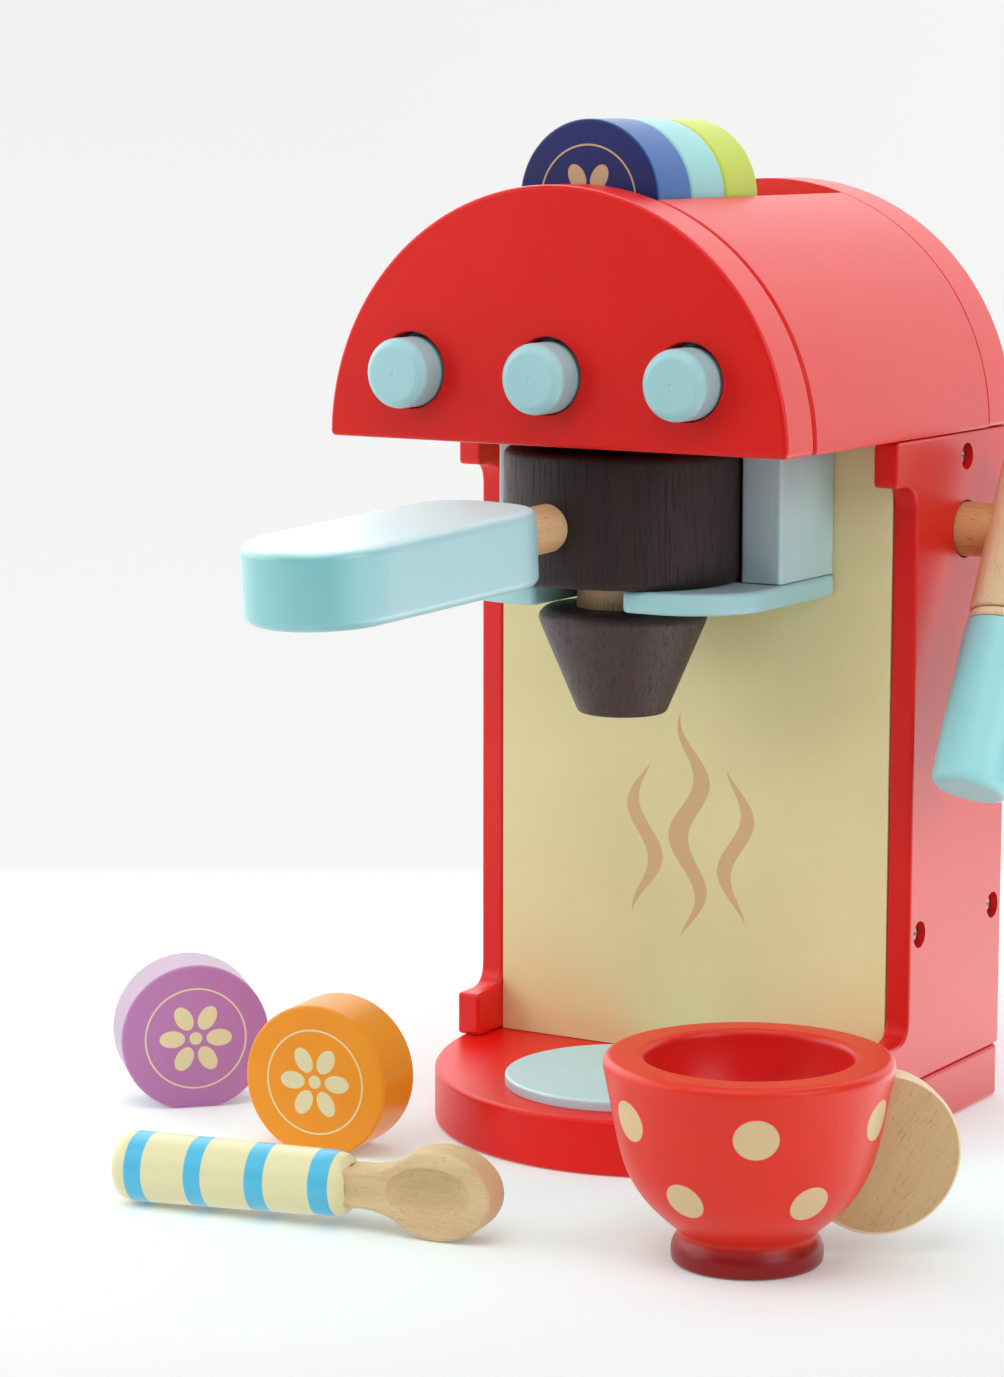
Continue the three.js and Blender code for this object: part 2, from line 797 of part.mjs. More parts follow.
function armRetainer() {
  const high = panelInnerX - glueGap;
  const low = high - retainerThickness;
  const ring = rod('x', pegRadius + retainerWidth, low, high, undefined, roundSides)
    .subtract(rod('x', pegRadius + glueGap, low - cutOverrun, high + cutOverrun, undefined, roundSides));
  return meshOf('arm_retainer', ring, plywood);
}

function armTenonHole(low, high) {
  const place = new THREE.Vector3(baseHalfWidth + armStandOff, 0, 0);
  return rod('z', armTenonRadius + glueGap, low, high, place);
}

function armStick() {
  const place = new THREE.Vector3(baseHalfWidth + armStandOff, 0, 0);
  const stick = softRod('z', armRadius, armRadius, -armStickLength, armTopLength, armEdgeRound, roundSides, place)
    .subtract(rod('x', pegRadius + glueGap, baseHalfWidth, baseHalfWidth + armStandOff - armRadius + armPegSocket + glueGap, undefined, roundSides))
    .subtract(armTenonHole(-armStickLength - cutOverrun, armTenonSocket - armStickLength));
  return meshOf('arm_stick', stick, beech);
}

function armRing() {
  const place = new THREE.Vector3(baseHalfWidth + armStandOff, 0, 0);
  const high = -armStickLength - glueGap;
  const low = high - armRingThickness;
  const ring = softRod('z', armRingRadius, armRingRadius, low, high, armRingRound, roundSides, place)
    .subtract(armTenonHole(low - cutOverrun, high + cutOverrun));
  return meshOf('arm_ring', ring, beech);
}

function armSleeve() {
  const place = new THREE.Vector3(baseHalfWidth + armStandOff, 0, 0);
  const high = -armStickLength - armRingThickness - 2 * glueGap;
  const low = high - armSleeveLength;
  const sleeve = softRod('z', armSleeveRadius, armSleeveRadius, low, high, armEdgeRound, roundSides, place)
    .subtract(armTenonHole(high - armTenonSocket, high + cutOverrun));
  return meshOf('arm_sleeve', sleeve, aquaPaint);
}

function armTenon() {
  const place = new THREE.Vector3(baseHalfWidth + armStandOff, 0, 0);
  const sleeveTop = -armStickLength - armRingThickness - 2 * glueGap;
  const low = sleeveTop - armTenonSocket + glueGap;
  const high = armTenonSocket - armStickLength - glueGap;
  return meshOf('arm_tenon', rod('z', armTenonRadius, low, high, place), beech);
}

function steamArm() {
  const group = new THREE.Group();
  group.position.set(0, pegY, pegZ);
  group.rotation.x = armTilt;
  group.add(armPeg(), armRetainer(), armStick(), armRing(), armSleeve(), armTenon());
  return group;
}

// Capsules: thick discs with a flat to stand on
function capsule(name, color) {
  const flatShare = Math.acos(capsuleFlatHalfWidth / capsuleRadius) / Math.PI;
  const outline = arc(0, capsuleFlatDrop, capsuleRadius, capsuleRadius, -flatShare, 1 + flatShare, archSides);
  const half = capsuleThickness / 2;
  const disc = carry('y', outline, -half, half, capsuleEdgeRound);
  return meshOf(name, disc, paint(color, 0.45));
}

function capsuleRow() {
  const colors = [
    ['capsule_navy', 0x2c2f6b],
    ['capsule_aqua', 0xa6e3e6],
    ['capsule_lime', 0xc3da5c],
  ];
  return colors.map(([name, color], i) => {
    const disc = capsule(name, color);
    const pitch = capsuleThickness + capsulePlay;
    disc.position.set(0, vaultFrontY + capsuleRowSetback + capsuleThickness / 2 + i * pitch, capsuleSeat + glueGap);
    return disc;
  });
}

function looseCapsule(name, color, place, turn) {
  const disc = capsule(name, color);
  disc.position.copy(place);
  disc.rotation.z = turn;
  return disc;
}

// Cup: a foot, a waist and a bowl that widens up to the rim
function cupOuterProfile(grow) {
  const bowlTop = cupHeight - cupRimRound;
  const bowl = cupBowlShares.map(([wide, high]) => [
    cupWaistRadius + (cupRimRadius - cupWaistRadius) * wide + grow,
    cupWaistHeight + (bowlTop - cupWaistHeight) * high,
  ]);
  return [
    [0, 0],
    [cupFootRadius - cupRimRound / 2 + grow, 0],
    [cupFootRadius + grow, cupRimRound],
    [cupFootRadius + grow, cupWaistHeight * cupFootShare],
    [cupWaistRadius + grow, cupWaistHeight],
    ...bowl,
    [cupRimRadius - cupRimRound * cupRimShare + grow, cupHeight - cupRimRound * cupRimShare],
    [cupRimRadius - cupRimRound + grow, cupHeight],
  ];
}

function cupBowl() {
  const profile = cupOuterProfile(0);
  const steps = roundSides / 4;
  for (let i = 0; i <= steps; i += 1) {
    const turn = (i / steps) * Math.PI / 2;
    profile.push([cupMouthRadius * Math.cos(turn), cupHeight - cupMouthDepth * Math.sin(turn)]);
  }
  return turned('z', profile, archSides);
}

function cup() {
  const group = new THREE.Group();
  group.position.copy(cupPlace);
  const handlePlace = new THREE.Vector3(cupHandleReach, 0, cupHandleHeight);
  const half = cupHandleThickness / 2;
  const outside = turned('z', [...cupOuterProfile(glueGap), [0, cupHeight]], archSides);
  const disc = softRod('y', cupHandleRadius, cupHandleRadius, -half, half, capsuleEdgeRound, roundSides, handlePlace);
  const handle = meshOf('cup_handle', disc.subtract(outside), beech);
  handle.rotation.z = cupHandleTurn;
  group.add(meshOf('cup_bowl', cupBowl(), redPaint), handle);
  return group;
}

// Spoon: its axis rises a little from the butt to the bowl, which stands on its edge
function spoonHandle() {
  const handle = softRod('x', spoonButtRadius, spoonNeckEndRadius, 0, spoonHandleLength, spoonHandleRound, roundSides);
  const low = new THREE.Vector3(spoonHandleLength - spoonNeckTenon, -spoonNeckHalfThickness, -spoonNeckHalfHeight);
  const high = new THREE.Vector3(spoonHandleLength + cutOverrun, spoonNeckHalfThickness, spoonNeckHalfHeight);
  const grown = new THREE.Vector3(0, glueGap, glueGap);
  return meshOf('spoon_handle', handle.subtract(box(low.sub(grown), high.add(grown))), creamPaint);
}

function spoonBowl() {
  const outline = arc(0, 0, spoonBowlHalfLength, spoonBowlHalfHeight, 0, 2 - 2 / roundSides, roundSides - 1);
  const half = spoonBowlThickness / 2;
  const oval = carry('y', outline, -half, half, spoonBowlRound);
  const hollow = new THREE.SphereGeometry(1, smallSides, smallSides / 2);
  hollow.scale(spoonHollowHalfLength, spoonHollowDepth, spoonHollowHalfHeight);
  hollow.translate(0, -half, 0);
  const neck = box(
    new THREE.Vector3(spoonHandleLength - spoonNeckTenon + glueGap, -spoonNeckHalfThickness, -spoonNeckHalfHeight),
    new THREE.Vector3(spoonBowlDistance - spoonHollowHalfLength, spoonNeckHalfThickness, spoonNeckHalfHeight),
  );
  const bowl = oval.subtract(solidOf(hollow)).translate([spoonBowlDistance, 0, 0]);
  return meshOf('spoon_bowl', bowl.add(neck), beech);
}

function spoon() {
  const group = new THREE.Group();
  group.position.set(spoonPlace.x, spoonPlace.y, spoonButtRadius + glueGap);
  group.rotation.order = 'ZYX';
  group.rotation.z = spoonTurn;
  group.rotation.y = -Math.asin((spoonBowlHalfHeight - spoonButtRadius) / spoonBowlDistance);
  group.add(spoonHandle(), spoonBowl());
  return group;
}

// The whole set
const coffeeMaker = new THREE.Group();
coffeeMaker.add(
  basePlate(),
  dripDisc(),
  ...baseScrews(),
  sidePanel(-1),
  sidePanel(1),
  ...sideScrews(),
  frontPanel(),
  backPanel(),
  topBoard(),
  headFrontPlate(),
  headWall(-1),
  headWall(1),
  headRearPlate(),
  headFloor(),
  capsuleChannel(),
  buttonGuide(),
  forkPlate(),
  holderBlock(),
  filter(),
  spout(),
  spindle(),
  steamArm(),
  ...capsuleRow(),
  looseCapsule('capsule_purple', 0xa96b9f, purplePlace, purpleTurn),
  looseCapsule('capsule_orange', 0xe08f2c, orangePlace, orangeTurn),
  cup(),
  spoon(),
);
for (const [word, x] of buttonPlaces()) {
  coffeeMaker.add(pushButton(word, x), buttonSpring(word, x));
}
console.log('least gap between turns of a spring, mm:', springGap(springTurns * smallSides).toFixed(2));

export default coffeeMaker;
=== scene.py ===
# %% [markdown]
# # A wooden toy espresso machine
# The machine is a small kitchen toy: painted boards, turned round pieces, five flat-bottomed capsules, a
# cup and a spoon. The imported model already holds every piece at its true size, but with straight facets
# where the wood is round. Here each visible piece gets the smooth, softly rounded shape that sanding and
# paint give it, and a finish of its own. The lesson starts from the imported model, so that nothing has to be
# placed by eye.
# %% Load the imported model
import json
import math

import bmesh
import bpy
import numpy as np
from mathutils import Matrix, Vector
from mathutils.geometry import tessellate_polygon


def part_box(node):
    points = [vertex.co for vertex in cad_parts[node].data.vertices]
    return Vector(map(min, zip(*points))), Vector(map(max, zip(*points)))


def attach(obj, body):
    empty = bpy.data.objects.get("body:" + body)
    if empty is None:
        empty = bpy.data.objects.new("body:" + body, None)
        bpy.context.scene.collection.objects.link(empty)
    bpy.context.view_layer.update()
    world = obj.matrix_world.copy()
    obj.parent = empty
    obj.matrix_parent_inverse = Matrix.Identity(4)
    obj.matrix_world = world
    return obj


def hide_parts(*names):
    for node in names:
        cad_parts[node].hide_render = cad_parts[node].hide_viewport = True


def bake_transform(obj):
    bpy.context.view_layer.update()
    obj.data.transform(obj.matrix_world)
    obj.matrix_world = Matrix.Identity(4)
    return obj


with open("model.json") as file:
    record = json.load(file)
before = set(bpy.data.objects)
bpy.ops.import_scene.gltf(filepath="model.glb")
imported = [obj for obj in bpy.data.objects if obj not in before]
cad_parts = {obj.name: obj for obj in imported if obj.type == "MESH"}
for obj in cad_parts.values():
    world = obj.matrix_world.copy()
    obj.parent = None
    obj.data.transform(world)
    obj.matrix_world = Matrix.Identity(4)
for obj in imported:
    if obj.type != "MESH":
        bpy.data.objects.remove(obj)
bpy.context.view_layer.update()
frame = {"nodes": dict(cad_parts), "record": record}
record = frame["record"]
body_of_node = {node: body for body, nodes in record["behaviour"]["bodies"].items() for node in nodes}

# %% [markdown]
# ## The camera first
# A photograph of a toy like this is taken with a long lens from a little above. The viewpoint was worked
# out beforehand by fitting a camera to the edges of the boards, so it is simply written down: a place, two
# angles, a very small roll, a lens and a small shift. Making it first lets every later step be looked at
# through it.
# %% Set up the camera
MM = 0.001
PHOTO_WIDTH, PHOTO_HEIGHT = 1004, 1377
LENS_PIXELS = 3891.9
CENTRE_PIXEL = (550.67, 683.68)
CAMERA_PLACE = (513.1, -923.0, 277.7)
SENSOR_WIDTH = 36
azimuth, elevation, roll = np.radians([30.924, 8.439, 0.192])
level_back = math.cos(elevation)
back = Vector((math.sin(azimuth) * level_back, -math.cos(azimuth) * level_back, math.sin(elevation)))
level_right = Vector((math.cos(azimuth), math.sin(azimuth), 0))
level_up = back.cross(level_right)
right = level_right * math.cos(roll) + level_up * math.sin(roll)
up = level_up * math.cos(roll) - level_right * math.sin(roll)

camera_data = bpy.data.cameras.new("photo_camera")
camera_data.sensor_width = SENSOR_WIDTH
camera_data.lens = SENSOR_WIDTH * LENS_PIXELS / PHOTO_HEIGHT
camera_data.shift_x = (PHOTO_WIDTH / 2 - CENTRE_PIXEL[0]) / PHOTO_HEIGHT
camera_data.shift_y = (CENTRE_PIXEL[1] - PHOTO_HEIGHT / 2) / PHOTO_HEIGHT
camera = bpy.data.objects.new("photo_camera", camera_data)
bpy.context.scene.collection.objects.link(camera)
camera.matrix_world = Matrix((
    (right.x, up.x, back.x, CAMERA_PLACE[0] * MM),
    (right.y, up.y, back.y, CAMERA_PLACE[1] * MM),
    (right.z, up.z, back.z, CAMERA_PLACE[2] * MM),
    (0, 0, 0, 1),
))
bpy.context.scene.camera = camera
camera_shift = [round(shift, 4) for shift in (camera_data.shift_x, camera_data.shift_y)]
print("lens:", round(camera_data.lens, 2), "mm, shift:", camera_shift)

# %% [markdown]
# ## Softening corners
# Every board and every turned piece starts from a flat outline with sharp corners. A real one never has
# them: a cutter, sandpaper and paint round each corner a little. One helper does that for closed and open
# outlines. Each point carries its own rounding length, and a point with none stays as it is.
# %% A helper that softens the corners of an outline
def soften(points, closed=False, steps=5):
    """Replaces each corner by a curve that starts and ends its rounding length before and after the corner.

    The curve is a parabola between those two places, pulled towards the corner:
    (1-t)^2 a + 2t(1-t) corner + t^2 b. Rows of points are (first, second, rounding).
    """
    points = np.asarray(points, float)
    corner, rounding = points[:, :2], points[:, 2:3]
    before, after = np.roll(corner, 1, 0), np.roll(corner, -1, 0)
    if not closed:
        before[0], after[-1] = corner[0], corner[-1]
    a, b = (
        corner + rounding * way / np.maximum(np.linalg.norm(way, axis=1, keepdims=True), 1e-9)
        for way in (before - corner, after - corner)
    )
    t = np.linspace(0, 1, steps + 1)[None, :, None]
    curve = (1 - t) ** 2 * a[:, None] + 2 * t * (1 - t) * corner[:, None] + t ** 2 * b[:, None]
    flat = curve.reshape(-1, 2)
    step = np.linalg.norm(flat - np.roll(flat, 1, 0), axis=1)
    keep = step > 1e-4
    keep[0] = keep[0] or not closed
    return flat[keep]


def arc(centre, half_width, half_height, start, end, steps):
    """Points on part of an oval: centre + (half width cos t, half height sin t), with t in degrees."""
    turn = np.radians(np.linspace(start, end, steps + 1))
    return np.column_stack([centre[0] + half_width * np.cos(turn), centre[1] + half_height * np.sin(turn)])


def plain(points):
    """The same points with no rounding of their own."""
    return np.column_stack([points, np.zeros(len(points))])


# %% [markdown]
# ## From arrays to a piece
# A piece of the finished model is a mesh made of arrays of points and faces. It takes the place of one
# imported node and moves with that node's body. Weighted normals keep the broad flat faces flat in the
# light, while the narrow rounded edges turn smoothly.
# %% Helpers that build a mesh and put it in the place of its node
SHARP_FROM, FLAT_WEIGHT = math.radians(35), 80
JOIN_WITHIN, SHORTEST_EDGE = 2e-7, 1e-8


def box_in_mm(node_name):
    """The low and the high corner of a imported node, in millimetres."""
    low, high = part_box(node_name)
    return np.array(low) / MM, np.array(high) / MM


def mesh_from(name, points, faces):
    """A mesh in metres from points in millimetres. Doubled points are joined and faces turned outwards."""
    mesh = bpy.data.meshes.new(name)
    mesh.from_pydata((np.asarray(points) * MM).tolist(), [], [tuple(face) for face in faces])
    work = bmesh.new()
    work.from_mesh(mesh)
    bmesh.ops.remove_doubles(work, verts=work.verts, dist=JOIN_WITHIN)
    bmesh.ops.dissolve_degenerate(work, edges=work.edges, dist=SHORTEST_EDGE)
    bmesh.ops.recalc_face_normals(work, faces=work.faces)
    work.to_mesh(mesh)
    work.free()
    mesh.shade_smooth()
    mesh.set_sharp_from_angle(angle=SHARP_FROM)
    return mesh


def finished(node, mesh, material):
    """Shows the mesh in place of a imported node."""
    piece = bpy.data.objects.new(node + "_finish", mesh)
    bpy.context.scene.collection.objects.link(piece)
    mesh.materials.clear()
    mesh.materials.append(material)
    smooth = piece.modifiers.new("flat_faces_stay_flat", "WEIGHTED_NORMAL")
    smooth.keep_sharp = True
    smooth.weight = FLAT_WEIGHT
    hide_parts(node)
    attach(piece, body_of_node[node])
    return piece


def second_paint(piece, material, axis, sign, least=0.6):
    """Gives a second material to the faces whose normal, times the sign, is over the least along one axis."""
    normals = np.empty(len(piece.data.polygons) * 3, dtype=np.float32)
    piece.data.polygons.foreach_get("normal", normals)
    chosen = (sign * normals.reshape(-1, 3)[:, axis] > least).astype(np.int32)
    piece.data.materials.append(material)
    piece.data.polygons.foreach_set("material_index", chosen)
    print(piece.name, "faces with", material.name + ":", int(chosen.sum()))


def ring_faces(first, rows, columns):
    """Four-sided faces between neighbouring rings of points, which are numbered ring by ring."""
    row, column = np.meshgrid(np.arange(rows - 1), np.arange(columns), indexing="ij")
    a = first + row * columns + column
    b = first + row * columns + (column + 1) % columns
    return np.stack([a, b, b + columns, a + columns], -1).reshape(-1, 4)


def pole_faces(ring_start, columns, pole):
    """Three-sided faces from one ring to a single point."""
    a = ring_start + np.arange(columns)
    b = ring_start + (np.arange(columns) + 1) % columns
    return np.column_stack([a, b, np.full(columns, pole)])


def closed_rings(rows, columns):
    """The faces of a closed shape whose points are rings, and after them one point for each end."""
    count = rows * columns
    ends = [*pole_faces(0, columns, count), *pole_faces(count - columns, columns, count + 1)]
    return [*ring_faces(0, rows, columns), *ends]


# %% [markdown]
# ## Turned pieces
# The drum, spout, buttons, cup and arm come off a lathe. Their shape is a profile of radius and height,
# carried once round the axis. A profile that starts and ends on the axis gives a closed piece, whose two
# ends are single points.
# %% Helpers for turned pieces
def turned(name, profile, place, steps=96):
    """Each profile point (radius, height) becomes a ring, (radius cos t, radius sin t, height)."""
    profile = np.asarray(profile, float)
    rings, t = profile[1:-1], np.linspace(0, 2 * math.pi, steps, endpoint=False)
    x = rings[:, :1] * np.cos(t)
    y = rings[:, :1] * np.sin(t)
    z = np.repeat(rings[:, 1:], steps, 1)
    points = np.stack([x, y, z], -1).reshape(-1, 3)
    points = np.vstack([points, [0, 0, profile[0, 1]], [0, 0, profile[-1, 1]]])
    return mesh_from(name, points @ place[:3, :3].T + place[:3, 3], closed_rings(len(rings), steps))


def placed(centre=(0, 0, 0), axis=(0, 0, 1), spin=0):
    """A four by four table of numbers that turns the height direction onto an axis and moves it."""
    turn = Vector((0, 0, 1)).rotation_difference(Vector(axis)).to_matrix() @ Matrix.Rotation(spin, 3, "Z")
    table = np.eye(4)
    table[:3, :3] = np.array(turn)
    table[:3, 3] = centre
    return table


def turned_piece(name, profile, place, material, steps=96):
    """Turns a profile and shows it in place of the node of that name."""
    return finished(name, turned(name, profile, place, steps), material)


def rod(radius, low, high, edge):
    """The profile of a plain rod whose two rims are rounded."""
    return soften([(0, low, 0), (radius, low, edge), (radius, high, edge), (0, high, 0)])


# %% [markdown]
# ## Boards
# A board is an outline with a thickness, a little rounding along both its rims, and holes. Near a rim the
# outline shrinks while the height changes, as on a quarter circle. A hole is a stack of rings of its own
# radius, so one helper makes plain holes, stepped holes and blind ones. The flat faces between the rims are
# filled with triangles.
# %% Helpers for boards with holes
AXES = {"x": [2, 0, 1], "y": [0, 2, 1], "z": [0, 1, 2]}


def outward(outline):
    """The outward direction at each point of a counterclockwise outline, long enough for an even offset."""
    edge = np.roll(outline, -1, 0) - outline
    edge /= np.linalg.norm(edge, axis=1, keepdims=True)
    normal = np.column_stack([edge[:, 1], -edge[:, 0]])
    other = np.roll(normal, 1, 0)
    return (normal + other) / (1 + np.sum(normal * other, 1, keepdims=True))


def counterclockwise(outline):
    """The outline itself, or turned round if its enclosed area comes out negative."""
    x, y = outline.T
    area = np.sum(x * np.roll(y, -1) - np.roll(x, -1) * y)
    return outline if area > 0 else outline[::-1]


def board(
    name, outline, low, high, edge, through=(), blind=(), along="z", steps=5, round_steps=56, oval=1.0,
    high_edge=None,
):
    """Rings of the outline, moved inwards by edge(1 - sin a) at a depth of edge(1 - cos a) under each face.

    Holes are (centre, rings), with rings of (radius, level). Blind ones end in a flat floor. An oval share
    makes every hole lower than it is wide. The high face's rim can have a rounding of its own.
    """
    high_edge = edge if high_edge is None else high_edge
    outline = counterclockwise(np.asarray(outline, float))
    side = outward(outline)
    turn = np.linspace(0, math.pi / 2, steps + 1)
    inset = np.concatenate([edge * (1 - np.sin(turn)), high_edge * (1 - np.sin(turn[::-1]))])
    level = np.concatenate([low + edge * (1 - np.cos(turn)), high - high_edge * (1 - np.cos(turn[::-1]))])
    shrunk = outline[None] - inset[:, None, None] * side[None]
    walls = [np.dstack([shrunk, np.repeat(level[:, None], len(outline), 1)])]
    around = np.linspace(0, 2 * math.pi, round_steps, endpoint=False)
    circle = np.column_stack([np.cos(around), oval * np.sin(around)])
    for centre, rings in (*through, *blind):
        rings = np.asarray(rings, float)
        flat = np.asarray(centre)[None, None] + rings[:, :1, None] * circle[None]
        walls.append(np.dstack([flat, np.repeat(rings[:, 1:], round_steps, 1)]))
    points, faces, rims = [], [], {"low": [], "high": []}
    for i, wall in enumerate(walls):
        first, columns = len(points), wall.shape[1]
        points.extend(wall.reshape(-1, 3))
        faces.extend(ring_faces(first, len(wall), columns))
        ends = [("low" if abs(wall[0, 0, 2] - low) < abs(wall[0, 0, 2] - high) else "high", first)]
        if i <= len(through):
            ends.append(("high" if ends[0][0] == "low" else "low", first + (len(wall) - 1) * columns))
        else:
            points.append(wall[-1].mean(0))
            faces.extend(pole_faces(first + (len(wall) - 1) * columns, columns, len(points) - 1))
        for face, start in ends:
            rims[face].append(start + np.arange(columns))
    points = np.array(points)
    for loops in rims.values():
        numbers = np.concatenate(loops)
        flat = [[Vector((*points[k, :2], 0)) for k in loop] for loop in loops]
        faces.extend(numbers[list(corner)] for corner in tessellate_polygon(flat))
    return mesh_from(name, points[:, AXES[along]], faces)


# %% [markdown]
# ## Finishes: what the eye should see
# The set has three kinds of surface. Satin paint over wood is even in colour, yet it lets the grain show
# faintly as fine relief, and it carries a soft sheen. Bare beech is warm and covered in short darker
# flecks. The drum and spout are stained nearly black, with open vertical pores. Each kind is one node
# group, built once and placed in every material that needs it, with that material's own colours.
# %% Helpers for node trees
def linear(code):
    """A colour code as it looks on screen, turned into the light values that a shader works with."""
    value = np.array([int(code[k:k + 2], 16) for k in (1, 3, 5)]) / 255
    value = np.where(value <= 0.04045, value / 12.92, ((value + 0.055) / 1.055) ** 2.4)
    return (*value.tolist(), 1.0)


def node(tree, kind, settings=None, **inputs):
    """Adds a node, sets its options and fills its sockets with values or with links from other sockets."""
    made = tree.nodes.new(kind)
    for key, value in (settings or {}).items():
        setattr(made, key, value)
    for key, value in inputs.items():
        numbered = key[0] == "i" and key[1:].isdigit()
        socket = made.inputs[int(key[1:]) if numbered else key.replace("_", " ")]
        if isinstance(value, bpy.types.NodeSocket):
            tree.links.new(value, socket)
        else:
            socket.default_value = value
    return made


def maths(tree, operation, *values):
    """One step of arithmetic on sockets or numbers."""
    inputs = {f"i{k}": value for k, value in enumerate(values)}
    return node(tree, "ShaderNodeMath", {"operation": operation}, **inputs).outputs[0]


def times(tree, first, second):
    return maths(tree, "MULTIPLY", first, second)


def plus(tree, first, second):
    return maths(tree, "ADD", first, second)


def less(tree, first, second):
    return maths(tree, "SUBTRACT", first, second)


def squares(tree, first, second):
    """The sum of two squares."""
    return plus(tree, times(tree, first, first), times(tree, second, second))


def larger(tree, first, second):
    """The larger of two numbers, or the second where nothing came before it."""
    return second if first is None else maths(tree, "MAXIMUM", first, second)


def ramp(tree, value, start, end, bottom=0.0, top=1.0, shape="LINEAR"):
    """Goes from bottom to top while the value goes from start to end, and stays level before and after."""
    limits = {"From_Min": start, "From_Max": end, "To_Min": bottom, "To_Max": top}
    return node(tree, "ShaderNodeMapRange", {"interpolation_type": shape}, Value=value, **limits).outputs[0]


def vectors(tree, operation, first, second=(0, 0, 0)):
    """One step of arithmetic on vectors. A dot product, a distance and a length are numbers."""
    made = node(tree, "ShaderNodeVectorMath", {"operation": operation}, i0=first, i1=second)
    return made.outputs["Value" if operation in ("DOT_PRODUCT", "DISTANCE", "LENGTH") else "Vector"]


def parts_of(tree, vector):
    """The three numbers of a vector."""
    return tuple(node(tree, "ShaderNodeSeparateXYZ", Vector=vector).outputs)


def object_place(tree):
    """The place of a point on its piece. Pieces sit at the origin, so it is a place in the model too."""
    return tree.nodes.new("ShaderNodeTexCoord").outputs["Object"]


def noise(tree, place, scale, detail, **more):
    return node(tree, "ShaderNodeTexNoise", Vector=place, Scale=scale, Detail=detail, **more).outputs[0]


def stretched_noise(tree, place, stretch, detail, **more):
    """Noise whose spots are long in the direction with the smallest stretch."""
    return noise(tree, vectors(tree, "MULTIPLY", place, stretch), 1, detail, **more)


def blended(tree, share, first, second):
    """A colour between two colours."""
    return node(tree, "ShaderNodeMix", {"data_type": "RGBA"}, i0=share, i6=first, i7=second).outputs[2]


def inside(material):
    """The node tree of a material and the shader in it."""
    return material.node_tree, material.node_tree.nodes["Principled BSDF"]


def paint_over(material, share, code):
    """Lays one more colour over those that the material has, where the share is 1."""
    tree, shader = inside(material)
    colour = shader.inputs["Base Color"]
    tree.links.new(blended(tree, share, colour.links[0].from_socket, linear(code)), colour)


def group_with(name, takes, gives):
    """An empty node group with named inputs (name, kind, default) and outputs (name, kind)."""
    tree = bpy.data.node_groups.new(name, "ShaderNodeTree")
    for label, kind, default in takes:
        socket = tree.interface.new_socket(name=label, in_out="INPUT", socket_type="NodeSocket" + kind)
        socket.default_value = default
    for label, kind in gives:
        tree.interface.new_socket(name=label, in_out="OUTPUT", socket_type="NodeSocket" + kind)
    return tree, tree.nodes.new("NodeGroupInput").outputs, tree.nodes.new("NodeGroupOutput").inputs


def give(tree, result, **sockets):
    """Links sockets to the outputs of a group."""
    for label, socket in sockets.items():
        tree.links.new(socket, result[label])


# %% [markdown]
# ### Satin paint
# Paint on wood has three small signs of being real. Its colour drifts by a few percent over a hand's width,
# the grain under it shows as long shallow lines, and the film itself has a very fine unevenness that breaks
# up the sheen. All three are noise, at three sizes. The grain is noise that is stretched along the board.
# %% The paint group
SURFACE = [("Color", "Color"), ("Roughness", "Float"), ("Height", "Float")]
paint_film, given, result = group_with("paint_film", [
    ("Paint", "Color", (0.5, 0.5, 0.5, 1)), ("Shade", "Color", (0.4, 0.4, 0.4, 1)),
    ("Place", "Vector", (0, 0, 0)), ("Grain", "Float", 0.5),
], SURFACE)
drift = noise(paint_film, given["Place"], 28, 3, Roughness=0.55)
pores = stretched_noise(paint_film, given["Place"], (40, 900, 900), 4, Roughness=0.6)
film = times(paint_film, noise(paint_film, given["Place"], 1400, 2), 0.12)
grain_share = times(paint_film, less(paint_film, 1.0, ramp(paint_film, pores, 0.36, 0.52)), given["Grain"])
drift_share = times(paint_film, ramp(paint_film, drift, 0.35, 0.7), 0.6)
shade_share = plus(paint_film, drift_share, times(paint_film, grain_share, 0.5))
give(
    paint_film, result,
    Color=blended(paint_film, shade_share, given["Paint"], given["Shade"]),
    Roughness=plus(paint_film, 0.32, film),
    Height=less(paint_film, film, times(paint_film, grain_share, 0.8)),
)
print("paint film nodes:", len(paint_film.nodes))

# %% [markdown]
# ### Bare beech
# Beech is a pale, warm wood. Its growth shows as broad soft bands along the piece, and its rays show as
# short dark flecks, a few millimetres long and a fraction of one wide. Both are noise stretched along the
# grain. The flecks keep only the lowest part of their noise, so that they stay apart from each other.
# %% The beech group
beech_grain, given, result = group_with("beech_grain", [
    ("Light", "Color", (0.6, 0.4, 0.2, 1)), ("Band", "Color", (0.5, 0.3, 0.15, 1)),
    ("Fleck", "Color", (0.3, 0.17, 0.08, 1)), ("Place", "Vector", (0, 0, 0)),
], SURFACE)
bands = stretched_noise(beech_grain, given["Place"], (12, 150, 150), 4, Roughness=0.5, Distortion=0.5)
fibres = stretched_noise(beech_grain, given["Place"], (90, 2200, 2200), 3, Roughness=0.6)
rays = stretched_noise(beech_grain, given["Place"], (420, 2100, 2100), 1, Roughness=0.4)
band_share = times(beech_grain, ramp(beech_grain, bands, 0.35, 0.68), 0.75)
fibre_share = times(beech_grain, less(beech_grain, fibres, 0.5), 1.3)
fleck_share = times(beech_grain, ramp(beech_grain, rays, 0.36, 0.28), 0.42)
wood_share = plus(beech_grain, band_share, fibre_share)
wood_colour = blended(beech_grain, wood_share, given["Light"], given["Band"])
give(
    beech_grain, result,
    Color=blended(beech_grain, fleck_share, wood_colour, given["Fleck"]),
    Roughness=plus(beech_grain, 0.5, times(beech_grain, fibres, 0.18)),
    Height=less(beech_grain, times(beech_grain, fibres, 0.3), fleck_share),
)
print("beech nodes:", len(beech_grain.nodes))

